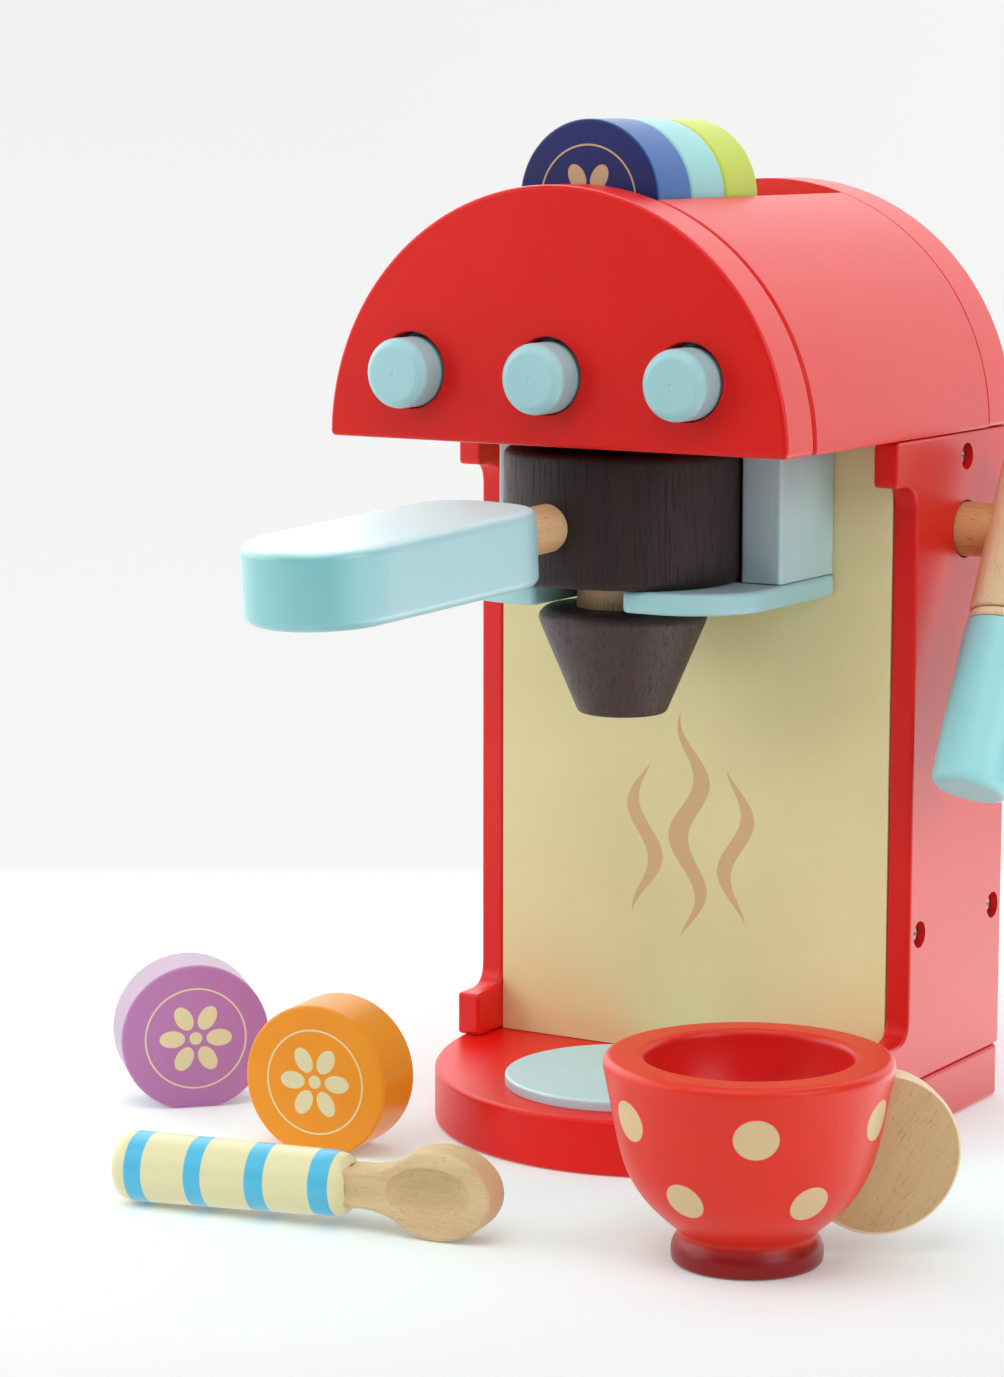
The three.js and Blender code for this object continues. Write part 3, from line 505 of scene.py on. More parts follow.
# %% [markdown]
# ### Dark stained wood
# Stain gathers in the open pores, so they turn darker than the face between them, and light catches their
# rims. The pores are long and narrow and run up and down the drum and spout.
# %% The stain group
stained_grain, given, result = group_with("stained_grain", [
    ("Face", "Color", (0.05, 0.03, 0.03, 1)), ("Pore", "Color", (0.01, 0.01, 0.01, 1)),
    ("Place", "Vector", (0, 0, 0)),
], SURFACE)
pores = stretched_noise(stained_grain, given["Place"], (90, 1300, 1300), 3, Roughness=0.65)
broad = stretched_noise(stained_grain, given["Place"], (15, 170, 170), 3)
pore_mask = ramp(stained_grain, pores, 0.5, 0.36)
broad_share = times(stained_grain, ramp(stained_grain, broad, 0.35, 0.7), 0.35)
dark_share = plus(stained_grain, times(stained_grain, pore_mask, 0.6), broad_share)
give(
    stained_grain, result,
    Color=blended(stained_grain, dark_share, given["Face"], given["Pore"]),
    Roughness=plus(stained_grain, 0.5, times(stained_grain, pore_mask, 0.15)),
    Height=times(stained_grain, pore_mask, -1.0),
)
print("stain nodes:", len(stained_grain.nodes))


# %% [markdown]
# ### Materials that use the groups
# A material reads the place of each point on its piece, turned so that its first direction runs along the
# grain. The group gives colour, roughness and height, and the height becomes a bump that is a few
# hundredths of a millimetre deep. The shader itself stays in the material. The red boards use one paint in
# several copies, with different strengths of sheen and slightly different depths of colour. These are lit
# and shaded copies, chosen by how light falls on each face, so they are painted light, sheen and shade.
# %% Materials from the groups
ACROSS, AHEAD, UPRIGHT = (1, 0, 0), (0, 1, 0), (0, 0, 1)
PAINT_BUMP, WOOD_BUMP, CONE_BUMP, DRUM_BUMP = 0.04 * MM, 0.06 * MM, 0.05 * MM, 0.07 * MM


def grain_place(tree, along):
    """Object coordinates turned so that X runs along the grain."""
    turn = Vector(ACROSS).rotation_difference(Vector(along)).inverted().to_euler()
    return node(tree, "ShaderNodeMapping", Vector=object_place(tree), Rotation=turn).outputs[0]


def wired(name, group, along, depth, sheen_level, **colours):
    """A material with one surface group, wired to colour, roughness and bump. Colours come as codes."""
    material = bpy.data.materials.new(name)
    material.use_nodes = True
    tree, shader = inside(material)
    values = {label: linear(value) if isinstance(value, str) else value for label, value in colours.items()}
    surface = node(tree, "ShaderNodeGroup", {"node_tree": group}, Place=grain_place(tree, along), **values)
    bump = node(tree, "ShaderNodeBump", Strength=1.0, Distance=depth, Height=surface.outputs["Height"])
    tree.links.new(surface.outputs["Color"], shader.inputs["Base Color"])
    tree.links.new(surface.outputs["Roughness"], shader.inputs["Roughness"])
    tree.links.new(bump.outputs[0], shader.inputs["Normal"])
    shader.inputs["Specular IOR Level"].default_value = sheen_level
    material.diffuse_color = surface.inputs[0].default_value
    return material


def painted(name, paint, shade, along, grain=0.15, sheen_level=0.5):
    return wired(name, paint_film, along, PAINT_BUMP, sheen_level, Paint=paint, Shade=shade, Grain=grain)


def beech(name, along, light="#D9B68A", band="#C79F6E", fleck="#8E673F", sheen_level=0.35):
    return wired(name, beech_grain, along, WOOD_BUMP, sheen_level, Light=light, Band=band, Fleck=fleck)


def metal(name, scale, detail, light, dark, smoothest, unevenness):
    """Bare metal whose colour and roughness drift together with one noise."""
    material = bpy.data.materials.new(name)
    material.use_nodes = True
    tree, shader = inside(material)
    marks = noise(tree, object_place(tree), scale, detail)
    tree.links.new(blended(tree, marks, linear(light), linear(dark)), shader.inputs["Base Color"])
    tree.links.new(plus(tree, smoothest, times(tree, marks, unevenness)), shader.inputs["Roughness"])
    shader.inputs["Metallic"].default_value = 1.0
    return material


# Lit and shaded copies of one red paint: colour and sheen follow how light falls on the faces that wear them,
# which is painted light and shade.
red_upright = painted("red_paint_upright", "#E6140B", "#DA120A", UPRIGHT, sheen_level=0.4)
red_across = painted("red_paint_across", "#DF130A", "#D31109", ACROSS)
red_base = painted("red_paint_base", "#F0160B", "#E4140A", AHEAD, sheen_level=0.3)
red_plate = painted("red_paint_front_plate", "#DB120A", "#CF1009", ACROSS, sheen_level=0.27)
red_rims = painted("red_paint_rims", "#E8150C", "#DC130B", AHEAD, sheen_level=0.66)
red_panels = painted("red_paint_side_panels", "#D7120A", "#CB1009", UPRIGHT, sheen_level=0.56)
wall_red = painted("red_paint_head_walls", "#E4140B", "#D9120A", AHEAD, sheen_level=0.62)
aqua_across = painted("aqua_paint_across", "#A0CED2", "#94C3C8", ACROSS)
aqua_ahead = painted("aqua_paint_ahead", "#A6D6D9", "#9ACCD0", AHEAD)
# Painted light: the block's aqua is tinted redder, for the red light bounced from the head above it.
aqua_upright = painted("aqua_paint_upright", "#B9DCDF", "#A9CCD0", UPRIGHT, grain=0.5)
# Painted light: the drip disc gets a paler, glossier copy of the aqua, which stands in for the sheen on it.
aqua_disc = painted("aqua_paint_disc", "#C4EEF8", "#BAE4EF", ACROSS, sheen_level=0.9)
dark_drum = wired("dark_stain_drum", stained_grain, UPRIGHT, DRUM_BUMP, 0.26, Face="#2D2120", Pore="#191211")
dark_cone = wired("dark_stain_cone", stained_grain, UPRIGHT, CONE_BUMP, 0.4, Face="#443635", Pore="#2E2322")
beech_upright = beech("beech_upright", UPRIGHT)
ply_across = beech("plywood_across", ACROSS, "#DEC79C", "#C9AC7B", "#A58456", sheen_level=0.3)
drawn_steel = metal("drawn_spring_wire", 2500, 3, "#B9B9B6", "#8E8E8C", 0.2, 0.25)
screw_metal = metal("zinc_screw", 900, 4, "#DAD6CC", "#A09C94", 0.4, 0.3)
print("materials:", len(bpy.data.materials))

# %% [markdown]
# ## Base plate and drip disc
# The base is a 15 mm board. Under the side panels it is square, and in front it ends in half an oval. Its
# outline is that half oval and two softened corners, and its size is read from the imported node. Its faces
# that look right have the side panels' glossier copy of the red, which is painted sheen on that side. Four
# screws come up from below, each in a well.
# %% Build the base plate and the drip disc
base_low, base_high = box_in_mm("base_plate")
BASE_NOSE, BASE_REAR_CORNER, BASE_EDGE = 76.5, 2.2, 1.3
BASE_SCREW_SPOTS = [(x, y) for x in (-44, 44) for y in (14.9, 62)]
WELL_MOUTH, WELL_RADIUS, WELL_DEPTH, BORE_RADIUS = 3.75, 3.7, 4, 2.0
nose = arc((0, base_low[1] + BASE_NOSE), base_high[0], BASE_NOSE, 180, 360, 72)
rear_corners = [(x, base_high[1], BASE_REAR_CORNER) for x in (base_high[0], base_low[0])]
base_outline = soften([*plain(nose), *rear_corners], closed=True)
screw_well = [
    (WELL_MOUTH, 0), (WELL_RADIUS, 0.1), (WELL_RADIUS, WELL_DEPTH), (BORE_RADIUS, WELL_DEPTH),
    (BORE_RADIUS, base_high[2]),
]
screw_bores = [(spot, screw_well) for spot in BASE_SCREW_SPOTS]
base_board = board("base_plate", base_outline, base_low[2], base_high[2], BASE_EDGE, through=screw_bores)
# Painted sheen: faces that look right get the glossier copy of the red.
second_paint(finished("base_plate", base_board, red_base), red_panels, 0, 1)

disc_low, disc_high = box_in_mm("drip_disc")
disc_radius, disc_height = (disc_high[0] - disc_low[0]) / 2, disc_high[2] - disc_low[2]
disc_profile = soften([
    (0, 0, 0), (disc_radius, 0, 0.2), (disc_radius, disc_height, 0.9), (0, disc_height, 0),
])
disc_place = placed((0, (disc_low[1] + disc_high[1]) / 2, disc_low[2]))
turned_piece("drip_disc", disc_profile, disc_place, aqua_disc, 128)
print("base plate:", np.round(base_high - base_low, 1), "drip disc radius:", round(disc_radius, 1))

# %% [markdown]
# ## Side panels
# Each 7 mm side panel has a tab at the top, a foot at the bottom and a hollow curve where each meets the
# recessed edge. Screws sink into counterbores, and the right panel is bored for the arm's peg. The right
# panel's broad face gets a copy of the red with a fuller sheen, and its faces that look forward get the
# front plate's duller, deeper copy. The two copies are painted light and shade, by how light falls on each
# face.
# %% Build the side panels
PANEL_CUT, PANEL_EDGE, PANEL_RECESS, RECESS_CURVE = 1.4, 0.9, 8.9, 6.5
TAB_BOTTOM, TAB_SETBACK, FOOT_TOP = 178.5, 0.6, 27.3
SCREW_SPOTS = [(14.9, 56), (62, 56), (39.8, 184.1)]
PEG_Y, PEG_Z, PEG_BORE, PEG_MOUTH = 39.8, 164.3, 7.75, 8.0


def side_panel(node_name, side):
    """The panel's outline seen from the side, with the wells on its outer face."""
    low, high = box_in_mm(node_name)
    front, rear, tab_front = low[1], high[1], low[1] + TAB_SETBACK
    outline = soften([
        (front, low[2], PANEL_CUT), (rear, low[2], PANEL_CUT), (rear, high[2], PANEL_CUT),
        (tab_front, high[2], PANEL_CUT), (tab_front, TAB_BOTTOM, PANEL_CUT),
        (PANEL_RECESS, TAB_BOTTOM, RECESS_CURVE), (PANEL_RECESS, FOOT_TOP, RECESS_CURVE),
        (front, FOOT_TOP, PANEL_CUT),
    ], closed=True, steps=8)
    outer, inner = (high[0], low[0]) if side > 0 else (low[0], high[0])
    floor = outer - side * WELL_DEPTH
    well = [(WELL_RADIUS, outer), (WELL_RADIUS, floor), (BORE_RADIUS, floor), (BORE_RADIUS, inner)]
    wells = [(spot, well) for spot in SCREW_SPOTS]
    if side > 0:
        wells.append(((PEG_Y, PEG_Z), [(PEG_MOUTH, outer), (PEG_BORE, outer - 0.3), (PEG_BORE, inner)]))
    return board(node_name, outline, low[0], high[0], PANEL_EDGE, through=wells, along="x")


finished("left_side_panel", side_panel("left_side_panel", -1), red_upright)
right_panel = finished("right_side_panel", side_panel("right_side_panel", 1), red_panels)
# Painted light and shade: forward-facing faces get the duller, deeper red, and the broad face keeps the
# glossier one.
second_paint(right_panel, red_plate, 1, -1)
print("side panel screws at:", SCREW_SPOTS, "peg at:", (PEG_Y, PEG_Z))

# %% [markdown]
# ## The head
# The head is an arch. A 15 mm plate closes it in front and another behind, and two curved walls join them,
# with a slot between the walls for the capsules. The front plate has three stepped holes: a narrow one in
# front and a counterbore behind it for the button's flange. The holes sit half a millimetre higher than the
# buttons, because the buttons hang a little in them, and that leaves the dark crescent above each button.
# The curved rims get a copy of the red with more sheen than the flat faces, and the faces that look forward
# get a duller, deeper copy: lit and shaded copies of one paint, which is painted light and shade. The walls'
# front edges are rounder than their rear ones and get that duller paint, and just behind them the walls'
# own paint is a deeper red, which is painted shade. Together they draw the line between the walls and the
# front plate.
# %% Build the head's plates and walls
front_low, front_high = box_in_mm("head_front_plate")
rear_low, rear_high = box_in_mm("head_rear_plate")
HALF_WIDTH, RISE, HEAD_BOTTOM = front_high[0], front_high[2] - front_low[2], front_low[2]
ARCH_CORNER, FRONT_EDGE, REAR_EDGE = 1.6, 1.2, 0.25
BUTTON_WORDS = ("left", "centre", "right")
BUTTON_X = [float(sum(corner[0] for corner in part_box("button_" + word))) / 2 / MM for word in BUTTON_WORDS]
BUTTON_Z, BUTTON_HANG = 208.8, 0.5
HOLE_RADIUS, HOLE_MOUTH, FLANGE_WELL, FACE_THICKNESS = 10.0, 10.3, 12.9, 7
arch = arc((0, HEAD_BOTTOM), HALF_WIDTH, RISE, 0, 180, 96)
arch_foot = soften([
    (*arch[-2], 0), (-HALF_WIDTH, HEAD_BOTTOM, ARCH_CORNER), (HALF_WIDTH, HEAD_BOTTOM, ARCH_CORNER),
    (*arch[1], 0),
])
arch_outline = np.vstack([arch[1:-1], arch_foot[1:-1]])
flange_seat = front_low[1] + FACE_THICKNESS
button_hole = [
    (HOLE_MOUTH, front_low[1]), (HOLE_RADIUS, front_low[1] + 0.3), (HOLE_RADIUS, flange_seat),
    (FLANGE_WELL, flange_seat), (FLANGE_WELL, front_high[1]),
]
button_holes = [((x, BUTTON_Z + BUTTON_HANG), button_hole) for x in BUTTON_X]
front_plate = board(
    "head_front_plate", arch_outline, front_low[1], front_high[1], FRONT_EDGE,
    through=button_holes, along="y", round_steps=72,
)
# Painted shade and sheen: the front faces get the duller, deeper red, and the rims keep the glossier copy.
second_paint(finished("head_front_plate", front_plate, red_rims), red_plate, 1, -1)
rear_plate = board("head_rear_plate", arch_outline, rear_low[1], rear_high[1], REAR_EDGE, along="y")
# Painted shade: the rear plate's back faces get a copy with less sheen than its rims.
second_paint(finished("head_rear_plate", rear_plate, red_rims), red_across, 1, 1)

WALL_THICKNESS, SLOT_HALF_WIDTH, WALL_END_EDGE = 8, 22, 0.8
WALL_FRONT_EDGE, WALL_REAR_EDGE = 1.5, 0.5
SEAM_SHADE_START, SEAM_SHADE_END = 1.1 * MM, 0.3 * MM


def head_wall(node_name, side):
    """Two arcs that end at the slot, one inside the other."""
    low, high = box_in_mm(node_name)
    inner_width, inner_rise = HALF_WIDTH - WALL_THICKNESS, RISE - WALL_THICKNESS
    outer_end = math.degrees(math.acos(SLOT_HALF_WIDTH / HALF_WIDTH))
    inner_end = math.degrees(math.acos(SLOT_HALF_WIDTH / inner_width))
    outer = arc((0, HEAD_BOTTOM), HALF_WIDTH, RISE, 0, outer_end, 60)
    inner = arc((0, HEAD_BOTTOM), inner_width, inner_rise, inner_end, 0, 60)
    rounding = np.zeros(len(outer) + len(inner))
    rounding[[0, len(outer) - 1, len(outer), -1]] = WALL_END_EDGE
    outline = soften(np.column_stack([np.vstack([outer, inner]), rounding]), closed=True, steps=4)
    return board(
        node_name, outline * [side, 1], low[1], high[1], WALL_FRONT_EDGE, along="y", high_edge=WALL_REAR_EDGE,
    )


tree = wall_red.node_tree
front_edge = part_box("head_right_wall")[0][1]
from_front = parts_of(tree, object_place(tree))[1]
# Painted shade: a deeper red just behind the walls' front edge, along the seam with the front plate.
paint_over(wall_red, ramp(tree, from_front, front_edge + SEAM_SHADE_START, front_edge + SEAM_SHADE_END), "#BE0C07")
for node_name, side in (("head_left_wall", -1), ("head_right_wall", 1)):
    # Painted shade: the walls' faces that look forward get the duller front-plate red.
    second_paint(finished(node_name, head_wall(node_name, side), wall_red), red_plate, 1, -1, least=0.3)
print("head:", round(2 * HALF_WIDTH, 1), "wide,", round(RISE, 1), "high")

# %% [markdown]
# ## Push buttons
# A button is one turned piece: a cap with a broad soft chamfer, a flange that stops it behind the plate,
# and a stem that runs back through the guide board. The cap's tiny dimple is where the lathe held it.
# %% Turn the buttons
button_low, button_high = box_in_mm("button_centre")
BUTTON_DEPTH = button_high[1] - button_low[1]
CAP_FLAT, CAP_RADIUS, CHAMFER_DEPTH, STEM_RADIUS = 7.3, 9.2, 1.9, 3.5
FLANGE_RADIUS, FLANGE_FRONT, FLANGE_BACK = 11.6, 15.9, 18.4
button_profile = soften([
    (0, 0.25, 0), (0.5, 0.1, 0.2), (0.9, 0, 0.3), (CAP_FLAT, 0, 0.9), (CAP_RADIUS, CHAMFER_DEPTH, 1.0),
    (CAP_RADIUS, FLANGE_FRONT, 0.1), (FLANGE_RADIUS, FLANGE_FRONT, 0.2), (FLANGE_RADIUS, FLANGE_BACK, 0.2),
    (STEM_RADIUS, FLANGE_BACK, 0.1), (STEM_RADIUS, BUTTON_DEPTH, 0.4), (0, BUTTON_DEPTH, 0),
])
for word, x in zip(BUTTON_WORDS, BUTTON_X):
    turned_piece("button_" + word, button_profile, placed((x, button_low[1], BUTTON_Z), AHEAD), aqua_across)
print("buttons:", round(BUTTON_DEPTH, 1), "mm deep, at", [round(x, 1) for x in BUTTON_X])


# %% [markdown]
# ## Springs behind the buttons
# A coil spring is a round wire carried along a helix. The imported spring has five-sided wire; this one is
# round.
# %% Wind the springs
def spring_mesh(name, x, start, end, turns=5, radius=5.4, wire=0.5, steps=280, sides=12):
    """Wire centre: (radius cos t, climb, radius sin t), where the climb is even. A ring of the wire's radius
    stands across the path at each point, made from the path's direction and the way out from the axis."""
    share = np.linspace(0, 1, steps)
    climb = start + wire + (end - start - 2 * wire) * share
    t = share * turns * 2 * math.pi
    centre = np.column_stack([x + radius * np.cos(t), climb, BUTTON_Z + radius * np.sin(t)])
    along = np.gradient(centre, axis=0)
    along /= np.linalg.norm(along, axis=1, keepdims=True)
    out = np.column_stack([np.cos(t), np.zeros(steps), np.sin(t)])
    cross = np.cross(along, out)
    around = np.linspace(0, 2 * math.pi, sides, endpoint=False)[None, :, None]
    rings = centre[:, None] + wire * (np.cos(around) * out[:, None] + np.sin(around) * cross[:, None])
    points = np.vstack([rings.reshape(-1, 3), centre[0], centre[-1]])
    return mesh_from(name, points, closed_rings(steps, sides))


for word, x in zip(BUTTON_WORDS, BUTTON_X):
    low, high = box_in_mm("spring_" + word)
    wound = spring_mesh("spring_" + word, x, low[1], high[1])
    spring = bpy.data.objects.new("spring_" + word + "_finish", wound)
    bpy.context.scene.collection.objects.link(spring)
    spring.data.materials.append(drawn_steel)
    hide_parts("spring_" + word)
    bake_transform(spring)
print("springs wound, length:", round(high[1] - low[1], 2), "mm")

# %% [markdown]
# ## Holder: fork plate and recessed block
# A thin aqua plate with an open slot carries the filter, and a block with a round recess stands on it
# behind the drum. Both are boards. The recess is cut right through the block's outline, as part of that
# outline.
# %% Build the holder
fork_low, fork_high = box_in_mm("fork_plate")
FILTER_Y = -29.1
SLOT_HALF, FORK_CORNER, FORK_EDGE, BLOCK_EDGE, RECESS_RADIUS = 13.2, 22, 1.2, 0.5, 32.6
slot_arc = arc((0, FILTER_Y), SLOT_HALF, SLOT_HALF, 180, 0, 32)
corner_y = fork_low[1] + FORK_CORNER
left_corner = arc((fork_low[0] + FORK_CORNER, corner_y), FORK_CORNER, FORK_CORNER, 180, 270, 24)
right_corner = arc((fork_high[0] - FORK_CORNER, corner_y), FORK_CORNER, FORK_CORNER, 270, 360, 24)
fork_outline = soften([
    (fork_high[0], fork_high[1], 1.5), (fork_low[0], fork_high[1], 1.5), *plain(left_corner),
    (-SLOT_HALF, fork_low[1], 1.8), *plain(slot_arc), (SLOT_HALF, fork_low[1], 1.8), *plain(right_corner),
], closed=True)
finished("fork_plate", board("fork_plate", fork_outline, fork_low[2], fork_high[2], FORK_EDGE), aqua_ahead)

block_low, block_high = box_in_mm("holder_block")
meeting = math.degrees(math.asin((block_low[1] - FILTER_Y) / RECESS_RADIUS))
recess = arc((0, FILTER_Y), RECESS_RADIUS, RECESS_RADIUS, 180 - meeting, meeting, 48)
block_outline = soften([
    (block_high[0], block_high[1], 0.8), (block_low[0], block_high[1], 0.8),
    (block_low[0], block_low[1], 1.1),
    (*recess[0], 0.8), *plain(recess[1:-1]), (*recess[-1], 0.8), (block_high[0], block_low[1], 1.1),
], closed=True)
block_board = board("holder_block", block_outline, block_low[2], block_high[2], BLOCK_EDGE)
finished("holder_block", block_board, aqua_upright)
print("holder block recess meets its front at", round(meeting, 1), "degrees")

# %% [markdown]
# ## Filter and spout
# The drum is a turned cylinder of stained wood, the spout under it a cone, and a beech spindle joins them
# through the fork. A dowel leaves the drum towards the front and carries the handle, a thick aqua bar with
# one round end. The filter is turned 8.5 degrees and the dowel's hole slopes down by 3.7, so the dowel and
# the handle are built level and straight first, and one table of turns and moves then carries both to their
# place. The handle's broad top is painted paler than its sides, which is a painted highlight, and its far end
# is painted a deeper teal, which is painted shade.
# %% Build the filter and the spout
FILTER_TURN, HANDLE_DROOP = math.radians(-8.5), math.radians(3.7)
drum_low, drum_high = box_in_mm("filter_drum")
DRUM_RADIUS, DRUM_BOTTOM, DRUM_TOP, DRUM_EDGE = 31.9, drum_low[2], drum_high[2], 2.4
SOCKET_RADIUS, SOCKET_DEPTH = 12.7, 6
HANDLE_Z = DRUM_BOTTOM + 15.8
drum_profile = soften([
    (0, DRUM_BOTTOM + SOCKET_DEPTH, 0), (SOCKET_RADIUS, DRUM_BOTTOM + SOCKET_DEPTH, 0.1),
    (SOCKET_RADIUS, DRUM_BOTTOM, 0.3), (DRUM_RADIUS, DRUM_BOTTOM, DRUM_EDGE),
    (DRUM_RADIUS, DRUM_TOP, DRUM_EDGE), (0, DRUM_TOP, 0),
], steps=8)
turned_piece("filter_drum", drum_profile, placed((0, FILTER_Y, 0), UPRIGHT, FILTER_TURN), dark_drum, 144)

cone_low, cone_high = box_in_mm("spout_cone")
CONE_FOOT, CONE_SHOULDER, CONE_MOUTH, CONE_SOCKET = 11.75, 22.9, 20.6, 12.6
cone_bottom, cone_top = cone_low[2], cone_high[2]
cone_profile = soften([
    (0, cone_bottom + 0.3, 0), (2, cone_bottom + 0.3, 0.3), (4, cone_bottom, 1),
    (CONE_FOOT, cone_bottom, 1.2),
    (CONE_SHOULDER, cone_top - 2.6, 1.6), (CONE_MOUTH, cone_top, 1.6), (CONE_SOCKET, cone_top, 0.2),
    (CONE_SOCKET, cone_top - 8, 0.1), (0, cone_top - 8, 0),
], steps=7)
turned_piece("spout_cone", cone_profile, placed((0, FILTER_Y, 0)), dark_cone, 144)

spindle_low, spindle_high = box_in_mm("spindle")
spindle_profile = rod(12.3, spindle_low[2], spindle_high[2], 0.3)
turned_piece("spindle", spindle_profile, placed((0, FILTER_Y, 0)), beech_upright)

slope_place = (
    Matrix.Translation((0, FILTER_Y * MM, 0)) @ Matrix.Rotation(FILTER_TURN, 4, "Z")
    @ Matrix.Translation((0, -DRUM_RADIUS * MM, HANDLE_Z * MM)) @ Matrix.Rotation(HANDLE_DROOP, 4, "X")
)
handle_direction = tuple(slope_place.to_3x3() @ Vector((0, -1, 0)))
dowel_mesh = turned("filter_dowel", rod(6.3, -7.8, 30.5, 0.4), placed((0, 0, 0), (0, -1, 0)), 64)
dowel_mesh.transform(slope_place)
finished("filter_dowel", dowel_mesh, beech("beech_dowel", handle_direction))

HANDLE_HALF, HANDLE_NEAR, HANDLE_FAR = 19.9, -18.7, -105.6
HANDLE_CORNER, HANDLE_EDGE, HALF_THICK = 16.8, 2.6, 9.9
handle_outline = soften([
    (HANDLE_HALF, HANDLE_NEAR, HANDLE_CORNER), (-HANDLE_HALF, HANDLE_NEAR, HANDLE_CORNER),
    *plain(arc((0, HANDLE_FAR + HANDLE_HALF), HANDLE_HALF, HANDLE_HALF, 180, 360, 48)),
], closed=True, steps=14)
handle_mesh = board("filter_handle", handle_outline, -HALF_THICK, HALF_THICK, HANDLE_EDGE, steps=8)
handle_mesh.transform(slope_place)
handle_paint = painted("aqua_paint_handle", "#AEDDE3", "#A2D3DA", handle_direction, sheen_level=1.0)
tree, shader = inside(handle_paint)
shader.inputs["Coat Weight"].default_value = 0.2
shader.inputs["Coat Roughness"].default_value = 0.35
handle_up = tuple(slope_place.to_3x3() @ Vector(UPRIGHT))
from_drum = vectors(tree, "SUBTRACT", object_place(tree), tuple(slope_place.to_translation()))
along_handle = vectors(tree, "DOT_PRODUCT", from_drum, handle_direction)
above_middle = vectors(tree, "DOT_PRODUCT", from_drum, handle_up)
# Painted shade: the far, round end of the handle is painted a deeper teal.
paint_over(handle_paint, ramp(tree, along_handle, 0.078, 0.1, shape="SMOOTHSTEP"), "#7FC6C9")
# Painted highlight: the broad top of the handle is painted paler than its sides.
paint_over(handle_paint, ramp(tree, above_middle, 0.0084, 0.0097, shape="SMOOTHSTEP"), "#CFF2F5")
finished("filter_handle", handle_mesh, handle_paint)
print("drum:", round(DRUM_BOTTOM, 1), "to", round(DRUM_TOP, 1), "handle centre height:", round(HANDLE_Z, 1))

# %% [markdown]
# ## Steam arm
# The arm is a beech stick that turns on a peg in the side panel, with a turned ring and an aqua sleeve
# under it. It leans forward by 27.4 degrees. Its pieces share one axis, and their profiles are measured
# along it from the peg.
# %% Build the steam arm
ARM_X, ARM_LEAN = 86.6, math.radians(27.4)
arm_down = (0, -math.sin(ARM_LEAN), -math.cos(ARM_LEAN))
arm_place = placed((ARM_X, PEG_Y, PEG_Z), arm_down)
beech_arm = beech("beech_arm", arm_down, "#EBD5AE", "#DDBE8E", "#B38E60")
beech_ring = beech("beech_ring", arm_down, "#EFDCB8", "#E4CCA2", "#BE9F76")
beech_peg = beech("beech_peg", ACROSS, "#D6A570", "#C28C55", "#91643A")
sleeve_paint = painted("aqua_paint_sleeve", "#A2E6E9", "#98DDE1", arm_down)
STICK_TOP, STICK_BOTTOM, RING_TOP, RING_BOTTOM, SLEEVE_TOP, SLEEVE_BOTTOM = -24, 25, 25.1, 27.9, 28.1, 74.3
stick_profile = soften([
    (0, STICK_TOP, 0), (11, STICK_TOP, 3), (11, STICK_BOTTOM - 0.1, 0.8), (8, STICK_BOTTOM, 0.2),
    (0, STICK_BOTTOM, 0),
], steps=7)
ring_profile = soften([
    (0, RING_TOP, 0), (10.2, RING_TOP, 0.6), (10.8, 26.5, 0.9), (10.4, RING_BOTTOM, 0.6), (0, RING_BOTTOM, 0),
])
sleeve_profile = soften([
    (0, SLEEVE_TOP, 0), (10.7, SLEEVE_TOP, 0.8), (11.2, 30.5, 2.5), (11.3, 60, 8), (11.0, SLEEVE_BOTTOM, 3.2),
    (0, SLEEVE_BOTTOM, 0),
], steps=8)
turned_piece("arm_stick", stick_profile, arm_place, beech_arm)
turned_piece("arm_ring", ring_profile, arm_place, beech_ring)
turned_piece("arm_sleeve", sleeve_profile, arm_place, sleeve_paint)
peg_low, peg_high = box_in_mm("arm_peg")
peg_place = placed((peg_low[0], PEG_Y, PEG_Z), ACROSS)
turned_piece("arm_peg", rod(7.4, 0, peg_high[0] - peg_low[0], 0.5), peg_place, beech_peg)
retainer_low, retainer_high = box_in_mm("arm_retainer")
RETAINER_RADIUS, RETAINER_BORE, RETAINER_EDGE, RETAINER_SIDES = 12, 7.6, 0.4, 72
last_turn = 360 - 360 / RETAINER_SIDES
retainer_outline = arc((PEG_Y, PEG_Z), RETAINER_RADIUS, RETAINER_RADIUS, 0, last_turn, RETAINER_SIDES - 1)
retainer_bore = [(RETAINER_BORE, retainer_low[0]), (RETAINER_BORE, retainer_high[0])]
retainer = board(
    "arm_retainer", retainer_outline, retainer_low[0], retainer_high[0], RETAINER_EDGE,
    through=[((PEG_Y, PEG_Z), retainer_bore)], along="x",
)
finished("arm_retainer", retainer, ply_across)
print("arm axis leans", round(math.degrees(ARM_LEAN), 1), "degrees")


# %% [markdown]
# ## Screws
# A pan-head screw is a shallow dome with a cross-shaped recess. The dome and the cross are one height over
# the disc of the head: the dome falls off with the square of the radius, and the cross takes a smooth bite
# where either coordinate is small. The shank is a plain turned rod.
# %% Make the screws
DOME_TOP, DOME_FALL, HEAD_RIM, CROSS_DEPTH, CROSS_HALF, CROSS_REACH = 2.3, 0.6, 0.9, 0.9, 0.62, 2.0


